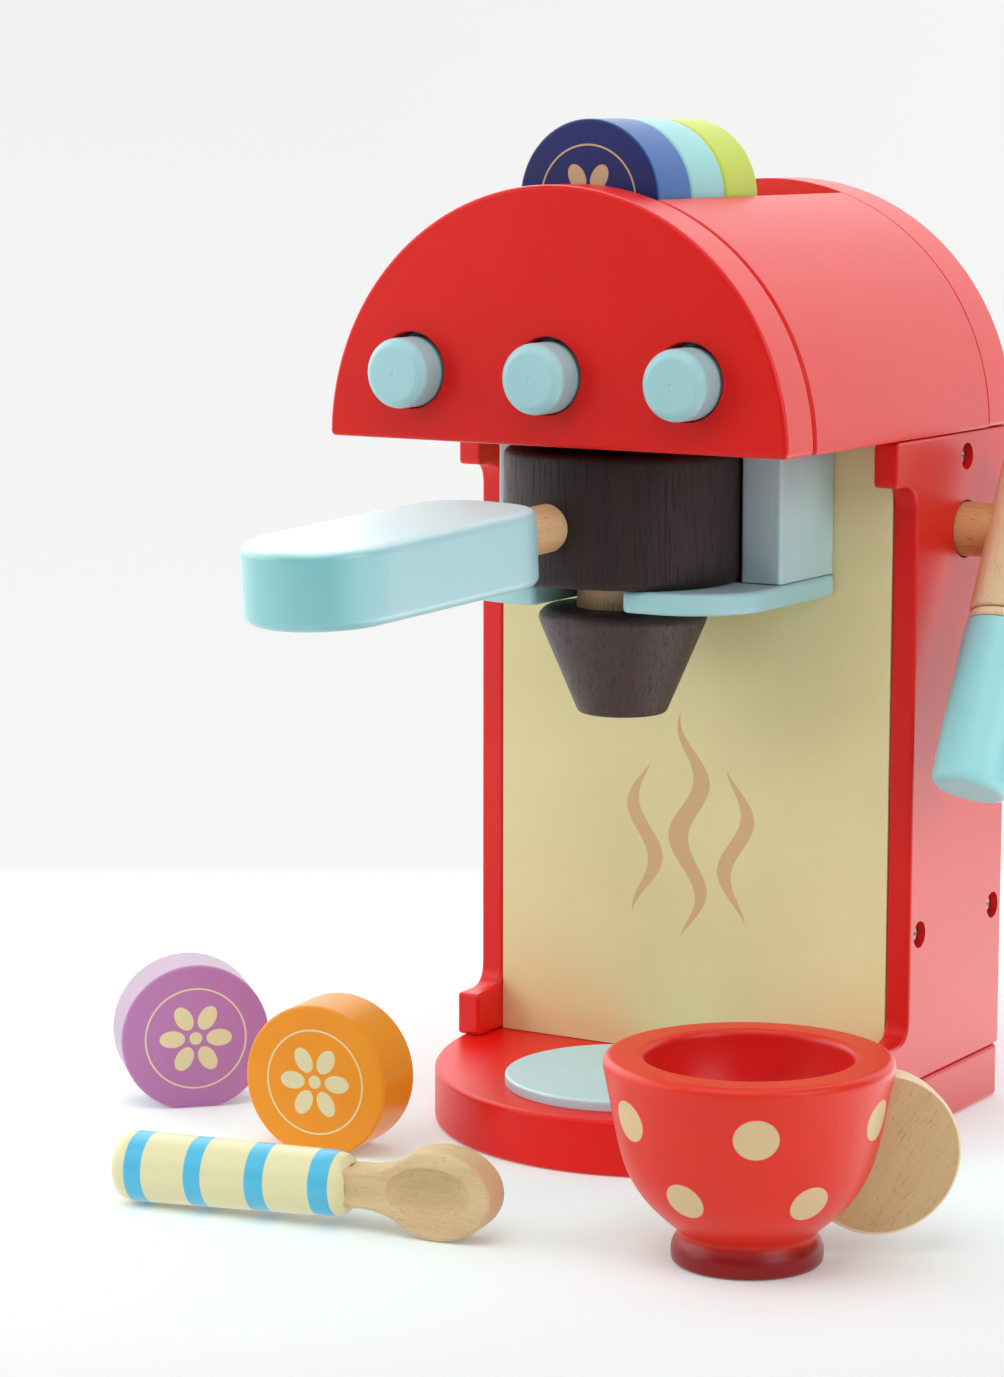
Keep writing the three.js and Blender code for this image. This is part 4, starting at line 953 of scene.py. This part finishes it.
def screw_mesh(name, seat, outwards, length=16, head=3.2, shank=1.6, steps=48):
    """Height over the head: dome top - dome fall (r/head)^2, less the cross with sides 0.3 mm wide."""
    r = np.concatenate([np.linspace(0.12, 2.9, 22), [3.1, head]])[:, None]
    t = np.linspace(0, 2 * math.pi, steps, endpoint=False)[None]
    x, y = r * np.cos(t), r * np.sin(t)
    from_arm = np.minimum(np.abs(x), np.abs(y))
    bite = np.clip((CROSS_HALF - from_arm) / 0.3, 0, 1) * np.clip((CROSS_REACH - r) / 0.5, 0, 1)
    z = DOME_TOP - DOME_FALL * (r / head) ** 2 - CROSS_DEPTH * bite
    z[-1] = HEAD_RIM
    top = np.stack([x, y, z], -1).reshape(-1, 3)
    below = np.array([[head, 0.0], [shank, 0.0], [shank, -length + 2.5], [0.2, -length]])
    heights = np.repeat(below[:, 1:], steps, 1)
    lower = np.stack([below[:, :1] * np.cos(t), below[:, :1] * np.sin(t), heights], -1).reshape(-1, 3)
    points = np.vstack([top, lower, [0, 0, DOME_TOP - CROSS_DEPTH], [0, 0, -length]])
    place = placed(seat, outwards, 0.4)
    faces = closed_rings(len(r) + len(below), steps)
    return mesh_from(name, points @ place[:3, :3].T + place[:3, 3], faces)


PANEL_SEAT_X = 64
for i, spot in enumerate(BASE_SCREW_SPOTS, 1):
    name = f"base_screw_{i}"
    finished(name, screw_mesh(name, (*spot, WELL_DEPTH), (0, 0, -1)), screw_metal)
for word, side in (("left", -1), ("right", 1)):
    for i, spot in enumerate(SCREW_SPOTS, 1):
        name = f"{word}_screw_{i}"
        finished(name, screw_mesh(name, (side * PANEL_SEAT_X, *spot), (side, 0, 0)), screw_metal)
print("screws:", len(BASE_SCREW_SPOTS), "in the base,", len(SCREW_SPOTS), "in each side panel")

# %% [markdown]
# ## Capsules
# Each capsule is a thick disc with a flat to stand on, and softly rounded rims. The face carries a printed
# ring and a small rosette of petals. The print is a mask in the disc's own coordinates: the ring is a band
# of radius, and the petals are one oval that is repeated round the centre by folding the angle.
# %% The capsule print
rosette, given, result = group_with("rosette_print", [("Face", "Vector", (0, 0, 0))], [("Mask", "Float")])
PETALS, PETAL_MIDDLE, PETAL_LONG, PETAL_WIDE = 6, 6.6 * MM, 3.6 * MM, 2.4 * MM
PRINT_RING = 14.1 * MM
across, depth_in, height = parts_of(rosette, given["Face"])
radius = maths(rosette, "SQRT", squares(rosette, across, height))
angle = maths(rosette, "ARCTAN2", height, across)
sector = 2 * math.pi / PETALS
turned_on = maths(rosette, "FLOORED_MODULO", plus(rosette, angle, sector / 2), sector)
folded = less(rosette, turned_on, sector / 2)
outwards = less(rosette, times(rosette, radius, maths(rosette, "COSINE", folded)), PETAL_MIDDLE)
sideways = times(rosette, radius, maths(rosette, "SINE", folded))
petal = squares(
    rosette, maths(rosette, "DIVIDE", outwards, PETAL_LONG), maths(rosette, "DIVIDE", sideways, PETAL_WIDE),
)
ring_distance = maths(rosette, "ABSOLUTE", less(rosette, radius, PRINT_RING))
petal_mask = ramp(rosette, petal, 1.03, 0.97)
ring_mask = ramp(rosette, ring_distance, 0.26 * MM, 0.2 * MM)
heart_mask = ramp(rosette, radius, 1.85 * MM, 1.78 * MM)
front_mask = ramp(rosette, depth_in, -8.6 * MM, -8.75 * MM)
drawn = larger(rosette, larger(rosette, petal_mask, ring_mask), heart_mask)
give(rosette, result, Mask=times(rosette, drawn, front_mask))
print("rosette nodes:", len(rosette.nodes))

# %% [markdown]
# ### Capsule shapes and paints
# All five capsules share one outline, an arc that a short flat closes, and one board of it. Only their
# place, their turn and their paint differ. The navy and the purple one have a rim of a second colour, as if
# the print covered the whole face, so their paint changes just behind the front edge.
# %% Capsule shapes and paints
CAPSULE_RADIUS, CAPSULE_FLAT, CAPSULE_HALF, CAPSULE_EDGE = 20.8, 6.2, 9.0, 0.9
flat_angle = math.degrees(math.acos(CAPSULE_FLAT / CAPSULE_RADIUS))
CAPSULE_RISE = CAPSULE_RADIUS * math.sin(math.radians(flat_angle))
capsule_arc = arc((0, CAPSULE_RISE), CAPSULE_RADIUS, CAPSULE_RADIUS, -flat_angle, 180 + flat_angle, 96)
capsule_rounding = np.zeros(len(capsule_arc))
capsule_rounding[[0, -1]] = 1.0
capsule_outline = soften(np.column_stack([capsule_arc, capsule_rounding]), closed=True)


def capsule_paint(name, code, shade, print_code, centre, turn, rim):
    """Satin paint with the rosette printed on the face that looks to the capsule's own front."""
    material = painted(name, code, shade, UPRIGHT, grain=0.2, sheen_level=0.27)
    tree = material.node_tree
    moved = vectors(tree, "SUBTRACT", object_place(tree), tuple(np.array(centre) * MM))
    turned_back = node(tree, "ShaderNodeMapping", Vector=moved, Rotation=(0, 0, -turn)).outputs[0]
    mask = node(tree, "ShaderNodeGroup", {"node_tree": rosette}, Face=turned_back).outputs["Mask"]
    if rim:
        paint_over(material, ramp(tree, parts_of(tree, turned_back)[1], -8.8 * MM, -8.4 * MM), rim)
    paint_over(material, mask, print_code)
    return material


def capsule(word, code, shade, print_code="#E6DEB0", foot=None, turn=0, rim=None):
    """One capsule. Where no foot is given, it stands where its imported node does, in the slot."""
    if foot is None:
        low, high = box_in_mm("capsule_" + word)
        foot = (0, (low[1] + high[1]) / 2, low[2])
    centre = (foot[0], foot[1], foot[2] + CAPSULE_RISE)
    material = capsule_paint(word + "_capsule", code, shade, print_code, centre, turn, rim)
    mesh = board("capsule_" + word, capsule_outline, -CAPSULE_HALF, CAPSULE_HALF, CAPSULE_EDGE, along="y")
    mesh.transform(Matrix.Translation(Vector(foot) * MM) @ Matrix.Rotation(turn, 4, "Z"))
    finished("capsule_" + word, mesh, material)


capsule("navy", "#212A69", "#1D255D", print_code="#C9AE84", rim="#2A63AC")
capsule("aqua", "#A0DCDD", "#96D3D5")
capsule("lime", "#C8DA48", "#BED13C")
capsule("purple", "#BE80B9", "#B375AF", foot=(-123, -57.6, 0), turn=math.radians(45), rim="#B89DB7")
capsule("orange", "#F79D24", "#EE931E", foot=(-61.6, -78.4, 0), turn=math.radians(7))
print("capsules: radius", CAPSULE_RADIUS, "thickness", 2 * CAPSULE_HALF, "flat", 2 * CAPSULE_FLAT)

# %% [markdown]
# ## Cup
# The cup is turned: a small flared foot, a waist, a bowl that opens to a broad flat rim, and a round
# hollow. Its polka dots are twelve spots in two staggered rows, a little wider than they are high. Each is
# listed by its turn round the cup from the side that faces the camera, and its mask is a distance measured
# along the surface. The foot and the hollow are painted deeper reds, which are painted shade: under the
# bowl and inside the hollow.
# %% Cup paint with polka dots
CUP = np.array((83.2, -111.4, 0))
DOT_ROWS = (
    (38.8, 5.5, 5.0, (-58, 3.2, 67, 125, 185, 244)),
    (21.2, 5.0, 4.5, (-31.6, 30.8, 92, 152, 212, 272)),
)
FACING = math.atan2(CAMERA_PLACE[1] - CUP[1], CAMERA_PLACE[0] - CUP[0])
cup_paint = painted("cup_red", "#E42E18", "#D82815", UPRIGHT, grain=0.1, sheen_level=0.36)
tree = cup_paint.node_tree
across, ahead, height = parts_of(tree, vectors(tree, "SUBTRACT", object_place(tree), tuple(CUP * MM)))
radius = maths(tree, "SQRT", squares(tree, across, ahead))
angle = maths(tree, "ARCTAN2", ahead, across)


def dot(turn, level, half_width, half_height):
    """The squared distance from the middle of one dot, along the surface, where 1 is its edge."""
    shifted = plus(tree, less(tree, angle, FACING + math.radians(turn)), math.pi)
    off = less(tree, maths(tree, "FLOORED_MODULO", shifted, 2 * math.pi), math.pi)
    sideways = maths(tree, "DIVIDE", times(tree, off, radius), half_width * MM)
    upwards = maths(tree, "DIVIDE", less(tree, height, level * MM), half_height * MM)
    return squares(tree, sideways, upwards)


nearest = None
for level, half_width, half_height, turns in DOT_ROWS:
    for turn in turns:
        distance = dot(turn, level, half_width, half_height)
        nearest = distance if nearest is None else maths(tree, "MINIMUM", nearest, distance)
from_side = less(tree, radius, times(tree, height, 0.25))
from_hollow = less(tree, radius, times(tree, height, 0.08))
above_waist = maths(tree, "GREATER_THAN", height, 19.5 * MM)
dot_share = times(tree, ramp(tree, nearest, 1.04, 0.97), ramp(tree, from_side, 16.5 * MM, 17.5 * MM))
# Painted shade: the foot, under the bowl, is painted a much darker red.
paint_over(cup_paint, ramp(tree, height, 8.5 * MM, 5.5 * MM), "#8E080B")
# Painted shade: the inside of the hollow is painted a deeper red.
paint_over(cup_paint, times(tree, ramp(tree, from_hollow, 22.2 * MM, 21.2 * MM), above_waist), "#D8181A")
paint_over(cup_paint, dot_share, "#DAC092")
print("dots:", sum(len(turns) for *_, turns in DOT_ROWS))

# %% [markdown]
# ### Turning the cup
# The bowl's side is a smooth curve through ten measured points, a polynomial of the distance along it, and
# the hollow is a quarter of an oval. Joined by softened corners they make one profile. The handle is a
# board of a disc whose inner edge follows the bowl's side, so that no gap shows. Its rim is painted paler,
# which is a painted highlight on the rim.
# %% Turn the cup and its handle
bowl_side = np.array([
    (16.8, 7.8), (19.9, 10.4), (22.7, 13.4), (25.05, 15.7), (27.5, 18.9), (29.8, 23.4), (31.45, 29.2),
    (32.9, 35.6), (34.0, 41.4), (35.4, 48.6),
])
HOLLOW_RADIUS, HOLLOW_TOP, HOLLOW_DEPTH, RIM_LEVEL, RIM_OUTER, RIM_INNER = 25.4, 49.6, 29.3, 51.3, 35.7, 25.9
finer = np.linspace(0, 1, 60)
along = np.concatenate([[0], np.cumsum(np.linalg.norm(np.diff(bowl_side, axis=0), axis=1))])
along /= along[-1]
fit_r, fit_z = (np.polyfit(along, bowl_side[:, k], 5) for k in (0, 1))
side_curve = np.column_stack([np.polyval(fit_r, finer), np.polyval(fit_z, finer)])
mouth = np.linspace(0, math.pi / 2, 40)
hollow = np.column_stack([HOLLOW_RADIUS * np.cos(mouth), HOLLOW_TOP - HOLLOW_DEPTH * np.sin(mouth)])
cup_foot = soften([
    (0, 0.6, 0), (14.0, 0.6, 0.5), (15.0, 0, 0.6), (18.6, 0, 1.6), (18.7, 4.4, 1.6), (16.7, 7.6, 1.3),
    (*side_curve[1], 0),
], steps=6)
cup_rim = soften([
    (*side_curve[-1], 0), (RIM_OUTER, RIM_LEVEL, 2.8), (RIM_INNER, RIM_LEVEL, 1.3), (*hollow[0], 0),
], steps=8)
cup_profile = np.vstack([cup_foot[:-1], side_curve[1:-1], cup_rim, hollow[1:-1], [(0, hollow[-1, 1])]])
turned_piece("cup_bowl", cup_profile, placed(CUP), cup_paint, 144)

DISC_RADIUS, DISC_REACH, DISC_HEIGHT, DISC_TURN = 20.2, 32.2, 26.0, math.radians(40)
DISC_HALF, DISC_EDGE, DISC_LET_IN, WAIST_RADIUS = 4, 0.9, 0.8, 16.8
disc_arc = arc((DISC_REACH, DISC_HEIGHT), DISC_RADIUS, DISC_RADIUS, -170, 170, 120)


def bowl_wall(level):
    """How far out the handle's inner edge is at a height, just inside the bowl's side."""
    return np.interp(level, side_curve[:, 1], side_curve[:, 0], left=WAIST_RADIUS) - DISC_LET_IN


kept = disc_arc[disc_arc[:, 0] > bowl_wall(disc_arc[:, 1])]
down = np.linspace(kept[-1, 1], kept[0, 1], 42)[1:-1]
disc_outline = np.vstack([kept, np.column_stack([bowl_wall(down), down])])
disc_mesh = board("cup_handle", disc_outline, -DISC_HALF, DISC_HALF, DISC_EDGE, along="y")
disc_mesh.transform(Matrix.Translation(Vector(CUP) * MM) @ Matrix.Rotation(DISC_TURN, 4, "Z"))
disc_out = np.array([math.cos(DISC_TURN), math.sin(DISC_TURN), 0])
disc_wood = beech("beech_cup_handle", (*(disc_out[:2] * 0.6).tolist(), 0.8), "#CBAE80", "#BE9E6E", "#8F6C45")
disc_centre = (CUP + DISC_REACH * disc_out + [0, 0, DISC_HEIGHT]) * MM
tree = disc_wood.node_tree
from_centre = vectors(tree, "DISTANCE", object_place(tree), tuple(disc_centre))
# Painted highlight: the rim of the handle disc is painted paler than its faces.
paint_over(disc_wood, ramp(tree, from_centre, (DISC_RADIUS - 0.5) * MM, (DISC_RADIUS - 0.2) * MM), "#F0DDBB")
finished("cup_handle", disc_mesh, disc_wood)
print("cup:", len(cup_profile), "profile points, handle disc radius", DISC_RADIUS)

# %% [markdown]
# ## Spoon
# The spoon's handle is a slim turned stick in cream with four blue stripes. Its butt is a soft dome, and
# its other end is rounded too, where the beech neck goes in. Each stripe is a distance along the stick.
# %% Spoon handle with stripes
SPOON_LENGTH, SPOON_TURN = 89.6, math.radians(9.1)
SPOON_RISE = math.asin(2.3 / SPOON_LENGTH)
STRIPES = ((5.2, 10.0), (22.0, 26.7), (38.9, 44.1), (56.4, 61.7))
BUTT = np.array((-78.3, -148.8, 9.3))
level_share = math.cos(SPOON_RISE)
spoon_axis = Vector((
    math.cos(SPOON_TURN) * level_share, math.sin(SPOON_TURN) * level_share, math.sin(SPOON_RISE),
))
spoon_paint = painted("spoon_cream", "#E6E1B1", "#DED8A3", tuple(spoon_axis), grain=0.35)
tree = spoon_paint.node_tree
from_butt = vectors(tree, "SUBTRACT", object_place(tree), tuple(BUTT * MM))
distance = vectors(tree, "DOT_PRODUCT", from_butt, tuple(spoon_axis))
stripes = None
for start, end in STRIPES:
    off = maths(tree, "ABSOLUTE", less(tree, distance, (start + end) / 2 * MM))
    half, blur = (end - start) / 2 * MM, 0.06 * MM
    stripes = larger(tree, stripes, ramp(tree, off, half + blur, half - blur))
paint_over(spoon_paint, stripes, "#4DBBDF")
butt_profile = soften([
    (0, 0, 0), (9.1, 0, 5.2), (8.3, 61.4, 2.6), (7.1, 64.4, 1.3), (5.2, 65.2, 0.4),
    (5.2, 63, 0.2), (0, 63, 0),
], steps=10)
turned_piece("spoon_handle", butt_profile, placed(BUTT, spoon_axis), spoon_paint)
spoon_angles = [round(math.degrees(angle), 1) for angle in (SPOON_TURN, SPOON_RISE)]
print("spoon handle lies", spoon_angles[0], "degrees round and rises", spoon_angles[1])

# %% [markdown]
# ### The spoon's bowl
# The bowl is sawn from flat beech: an oval with a straight neck, whose edges are only just broken. A ball-
# nosed cutter then sinks an oval hollow into its face. The outline joins the neck to the oval with two soft
# corners, and the hollow is a stack of oval rings that sink towards the middle. The oval's far edge is end
# grain.
# %% Spoon bowl
OVAL_LONG, OVAL_HIGH, SPOON_HALF, SPOON_EDGE = 14.8, 11.4, 5.0, 1.1
NECK_HALF, NECK_END, NECK_ROOT, NECK_CURVE = 4.9, -34.5, -16.8, 4.2
HOLLOW_REACH, HOLLOW_SINK, HOLLOW_OVAL, HOLLOW_CENTRE = 11.4, 4.6, 0.59, (-1.8, 0.5)
oval_arc = arc((0, 0), OVAL_LONG, OVAL_HIGH, -142, 142, 110)
bowl_outline = soften([
    (NECK_END, -NECK_HALF, 0.4), (NECK_ROOT, -NECK_HALF, NECK_CURVE), *plain(oval_arc),
    (NECK_ROOT, NECK_HALF, NECK_CURVE), (NECK_END, NECK_HALF, 0.4),
], closed=True, steps=8)
inwards = 1 - np.linspace(0, 0.985, 30) ** 1.6
sunk = -SPOON_HALF + HOLLOW_SINK * (1 - inwards ** 2) ** 0.6
hollow_rings = np.column_stack([HOLLOW_REACH * inwards, sunk])
bowl_mesh = board(
    "spoon_bowl", bowl_outline, -SPOON_HALF, SPOON_HALF, SPOON_EDGE, blind=[(HOLLOW_CENTRE, hollow_rings)],
    along="y", round_steps=110, oval=HOLLOW_OVAL,
)
spoon_side = Vector((-math.sin(SPOON_TURN), math.cos(SPOON_TURN), 0))
bowl_turn = Matrix((spoon_axis, spoon_side, spoon_axis.cross(spoon_side))).transposed()
bowl_centre = Vector(BUTT) * MM + SPOON_LENGTH * MM * spoon_axis
bowl_mesh.transform(Matrix.Translation(bowl_centre) @ bowl_turn.to_4x4())
spoon_wood = beech("beech_spoon", tuple(spoon_axis), "#DFC79B", "#CDB07E", "#A5845C")
tree = spoon_wood.node_tree
from_middle = vectors(tree, "SUBTRACT", object_place(tree), tuple(bowl_centre))
along_spoon = vectors(tree, "DOT_PRODUCT", from_middle, tuple(spoon_axis))
reach_along = maths(tree, "DIVIDE", along_spoon, OVAL_LONG * MM)
reach_up = maths(tree, "DIVIDE", parts_of(tree, from_middle)[2], OVAL_HIGH * MM)
near_rim = ramp(tree, squares(tree, reach_along, reach_up), 0.95, 0.98)
paint_over(spoon_wood, times(tree, near_rim, ramp(tree, reach_along, 0.1, 0.9)), "#D9B58C")
finished("spoon_bowl", bowl_mesh, spoon_wood)
print("spoon bowl points:", len(bowl_mesh.vertices))

# %% [markdown]
# ## The cream panel and its print
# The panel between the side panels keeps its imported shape, because it is a plain board. It gets cream paint
# and a printed pattern of its own: three upright wavy ribbons, like rising steam, each a band around a sine
# wave that thins out towards both ends.
# %% Paint the panel
RIBBONS = ((-14.5, 54, 97, 2.6, 0.4), (0, 48, 112, 3.2, 2.2), (14.5, 54, 97, 2.6, 4.0))
WAVE_LENGTH, WAVE_SWING = 32 * MM, 3.6 * MM
panel_paint = painted("panel_cream", "#EDE4AC", "#E4D99E", UPRIGHT, grain=0.12)
tree = panel_paint.node_tree
across, ahead, height = parts_of(tree, object_place(tree))
on_front = ramp(tree, ahead, 9.5 * MM, 9.2 * MM)
ribbons = None
for centre, low, high, width, phase in RIBBONS:
    share = ramp(tree, height, low * MM, high * MM)
    taper = maths(tree, "SINE", times(tree, share, math.pi))
    wave = maths(tree, "SINE", plus(tree, times(tree, height, 2 * math.pi / WAVE_LENGTH), phase))
    line = plus(tree, centre * MM, times(tree, wave, WAVE_SWING))
    off = maths(tree, "ABSOLUTE", less(tree, across, line))
    room = less(tree, times(tree, taper, width * MM), off)
    above = maths(tree, "GREATER_THAN", height, low * MM)
    below = maths(tree, "LESS_THAN", height, high * MM)
    ribbon = times(tree, ramp(tree, room, -0.05 * MM, 0.08 * MM), times(tree, above, below))
    ribbons = larger(tree, ribbons, ribbon)
paint_over(panel_paint, times(tree, ribbons, on_front), "#DDB887")
print("panel print nodes:", len(tree.nodes))

# %% [markdown]
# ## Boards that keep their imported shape
# The back panel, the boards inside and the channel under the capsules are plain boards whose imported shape
# is already right. Each gets a finish only. An object's material slot is changed, and its mesh is left
# alone.
# %% Finish the plain boards
plain_boards = {
    "front_panel": panel_paint, "back_panel": red_upright, "top_board": ply_across, "head_floor": red_across,
    "capsule_channel": ply_across, "button_guide": ply_across, "arm_tenon": beech_arm,
}
for name, material in plain_boards.items():
    packed = frame["nodes"][name]
    if not packed.material_slots:
        packed.data.materials.append(material)
    for slot in packed.material_slots:
        slot.link = "OBJECT"
        slot.material = material
print("plain boards finished:", len(plain_boards))

# %% [markdown]
# ## Floor and backdrop
# The set stands on a pale table in front of a pale wall. Both are one bent sheet. Near the set the table is
# lit and shaded like any surface. For the camera it also has painted light round the set, a faint cyan tint
# and a small glow that take away some of the red bounce and shade there, and painted shade, a darker grey
# towards the front. The camera sees an even white instead on the wall, painted a little greyer towards its
# upper left as painted shade, and on the table from 0.35 to 0.45 metres outwards. Satin paint shows what it
# mirrors, so mirrored rays see a table and a wall that glow. The table's glow is a little under white in the
# middle and about three times white to the right, which gives the machine's right side its pale sheen. No
# other ray sees that glow. Seen from behind, the wall is clear, so that the toy can be looked at from every
# side.
# %% Build the stage
TABLE_NEAR, WALL_FOOT, WALL_TOP, STAGE_HALF = -700, 333, (400, 1500), 1500
SET_MIDDLE = (0.02, -0.06, 0)
stage_depth = Vector((-math.sin(azimuth), math.cos(azimuth), 0))
profile = soften([(TABLE_NEAR, 0, 0), (WALL_FOOT, 0, 6), (*WALL_TOP, 0)], steps=12)
width = np.array([-STAGE_HALF, STAGE_HALF])
sheet = np.stack([
    profile[:, :1] * stage_depth.x + width * level_right.x,
    profile[:, :1] * stage_depth.y + width * level_right.y,
    np.repeat(profile[:, 1:], 2, 1),
], -1).reshape(-1, 3) * MM
strips = [(2 * k, 2 * k + 1, 2 * k + 3, 2 * k + 2) for k in range(len(profile) - 1)]
table_mesh = bpy.data.meshes.new("table_and_wall")
table_mesh.from_pydata(sheet.tolist(), [], strips)
table_mesh.shade_smooth()
table = bpy.data.objects.new("table_and_wall", table_mesh)
bpy.context.scene.collection.objects.link(table)
table_paint = bpy.data.materials.new("pale_table")
table_paint.use_nodes = True
table_mesh.materials.append(table_paint)
print("table and wall:", len(profile), "rows of points, wall", round(float(profile[-1, 1])), "mm high")

# %% [markdown]
# ### What each kind of ray sees
# Every ramp below goes over a place on the sheet, in metres: its height, its distance sideways from the
# middle, its depth away from the camera, and its distance from the set. The shares choose between colours,
# and the last three shaders choose between the camera's rays, mirrored rays and rays from behind.
# %% Paint the stage
WALL_GLOW, TABLE_LIFT, SET_PAINTED_LIGHT = 1.8, 0.12, 0.05
tree, shader = inside(table_paint)
place = object_place(tree)
height = parts_of(tree, place)[2]
sideways = vectors(tree, "DOT_PRODUCT", place, tuple(level_right))
depth = vectors(tree, "DOT_PRODUCT", place, tuple(stage_depth))
from_set = vectors(tree, "DISTANCE", place, SET_MIDDLE)
from_origin = vectors(tree, "LENGTH", place)
ray = tree.nodes.new("ShaderNodeLightPath").outputs
for_camera = ray["Is Camera Ray"]
on_wall = ramp(tree, height, 0.0, 0.004)
# Painted shade: for the camera, the table turns a darker grey towards the front.
front_painted_shade = times(tree, ramp(tree, depth, -0.04, -0.36), for_camera)
# Painted light: for the camera, a cyan tint and a small glow round the set take away red bounce and shade.
set_painted_light = times(tree, ramp(tree, from_set, 0.2, 0.08), for_camera)
far_share = times(tree, maths(tree, "MAXIMUM", on_wall, ramp(tree, from_origin, 0.35, 0.45)), for_camera)

table_colour = blended(tree, set_painted_light, linear("#FBFEFF"), linear("#E7FBFB"))
table_colour = blended(tree, front_painted_shade, table_colour, linear("#CACACA"))
tree.links.new(blended(tree, on_wall, table_colour, linear("#EFF0F0")), shader.inputs["Base Color"])
shader.inputs["Roughness"].default_value = 0.9
shader.inputs["Specular IOR Level"].default_value = 0.1
# Painted shade: the wall is a little greyer towards its upper left.
corner_painted_shade = times(tree, ramp(tree, height, 0.0, 0.3), ramp(tree, sideways, 0.22, -0.1))
wall_colour = blended(tree, corner_painted_shade, linear("#F7F7F6"), linear("#F2F2F2"))
far_colour = blended(tree, on_wall, linear("#FDFEFE"), wall_colour)

to_right, far_right = ramp(tree, sideways, 0.04, 0.16, 0.75, 3.1), ramp(tree, sideways, 0.62, 0.85, 0.0, -2.3)
table_glow = plus(tree, plus(tree, to_right, far_right), ramp(tree, sideways, -0.06, -0.11, 0.0, 0.7))
upper_left = times(tree, ramp(tree, sideways, 0.0, -0.06), ramp(tree, height, 0.17, 0.25, 0.0, 1.4))
wall_glow = plus(tree, WALL_GLOW, upper_left)
glow = node(tree, "ShaderNodeMix", {"data_type": "FLOAT"}, i0=on_wall, i2=table_glow, i3=wall_glow).outputs[0]
lift_strength = plus(tree, times(tree, for_camera, TABLE_LIFT), times(tree, set_painted_light, SET_PAINTED_LIGHT))


def chosen(share, first, second):
    """The first shader where the share is 0, and the second where it is 1."""
    mix = node(tree, "ShaderNodeMixShader", Fac=share)
    tree.links.new(first.outputs[0], mix.inputs[1])
    tree.links.new(second.outputs[0], mix.inputs[2])
    return mix


lifted = tree.nodes.new("ShaderNodeAddShader")
tree.links.new(shader.outputs[0], lifted.inputs[0])
tree.links.new(node(tree, "ShaderNodeEmission", Strength=lift_strength).outputs[0], lifted.inputs[1])
seen = chosen(far_share, lifted, node(tree, "ShaderNodeEmission", Color=far_colour))
reflected = chosen(ray["Is Glossy Ray"], seen, node(tree, "ShaderNodeEmission", Strength=glow))
from_behind = times(tree, tree.nodes.new("ShaderNodeNewGeometry").outputs["Backfacing"], for_camera)
whole = chosen(from_behind, reflected, tree.nodes.new("ShaderNodeBsdfTransparent"))
tree.links.new(whole.outputs[0], tree.nodes["Material Output"].inputs["Surface"])
print("stage nodes:", len(tree.nodes))

# %% [markdown]
# ## Light
# Four large lamps give broad soft shadows, one from above, one from the upper front and one from each side.
# The world fills the rest evenly: white for the camera, and faint for the light that reaches the toy.
# %% Light the set
FILL, MIRRORED_FILL = 0.16, 0.08
world = bpy.data.worlds.new("studio")
bpy.context.scene.world = world
world.use_nodes = True
tree = world.node_tree
background = tree.nodes["Background"]
ray = tree.nodes.new("ShaderNodeLightPath").outputs
strength = ramp(tree, ray["Is Camera Ray"], 0.0, 1.0, FILL, 1.0)
strength = node(
    tree, "ShaderNodeMix", {"data_type": "FLOAT"}, i0=ray["Is Glossy Ray"], i2=strength, i3=MIRRORED_FILL,
).outputs[0]
tree.links.new(strength, background.inputs["Strength"])
background.inputs["Color"].default_value = (1, 1, 1, 1)


def soft_lamp(name, place, aim, size, watts):
    """A large square lamp at a place, turned towards a point, both in metres."""
    data = bpy.data.lights.new(name, "AREA")
    data.shape, data.size, data.energy = "SQUARE", size, watts
    lamp = bpy.data.objects.new(name, data)
    lamp.location = place
    lamp.rotation_euler = (Vector(aim) - Vector(place)).to_track_quat("-Z", "Y").to_euler()
    bpy.context.scene.collection.objects.link(lamp)


soft_lamp("overhead_lamp", (0.0, 0.2, 1.35), (0, 0, 0.1), 1.3, 4.7)
soft_lamp("upper_front_lamp", (0.1, -0.7, 1.2), (0, 0, 0.1), 1.0, 6.5)
soft_lamp("left_lamp", (-0.8, -0.6, 0.5), (0, 0, 0.1), 0.8, 4.8)
soft_lamp("right_lamp", (1.2, -0.35, 0.7), (0, 0, 0.12), 0.8, 6.5)
bpy.context.scene.view_settings.view_transform = "Standard"
print("lamps:", [lamp.name for lamp in bpy.data.lights])
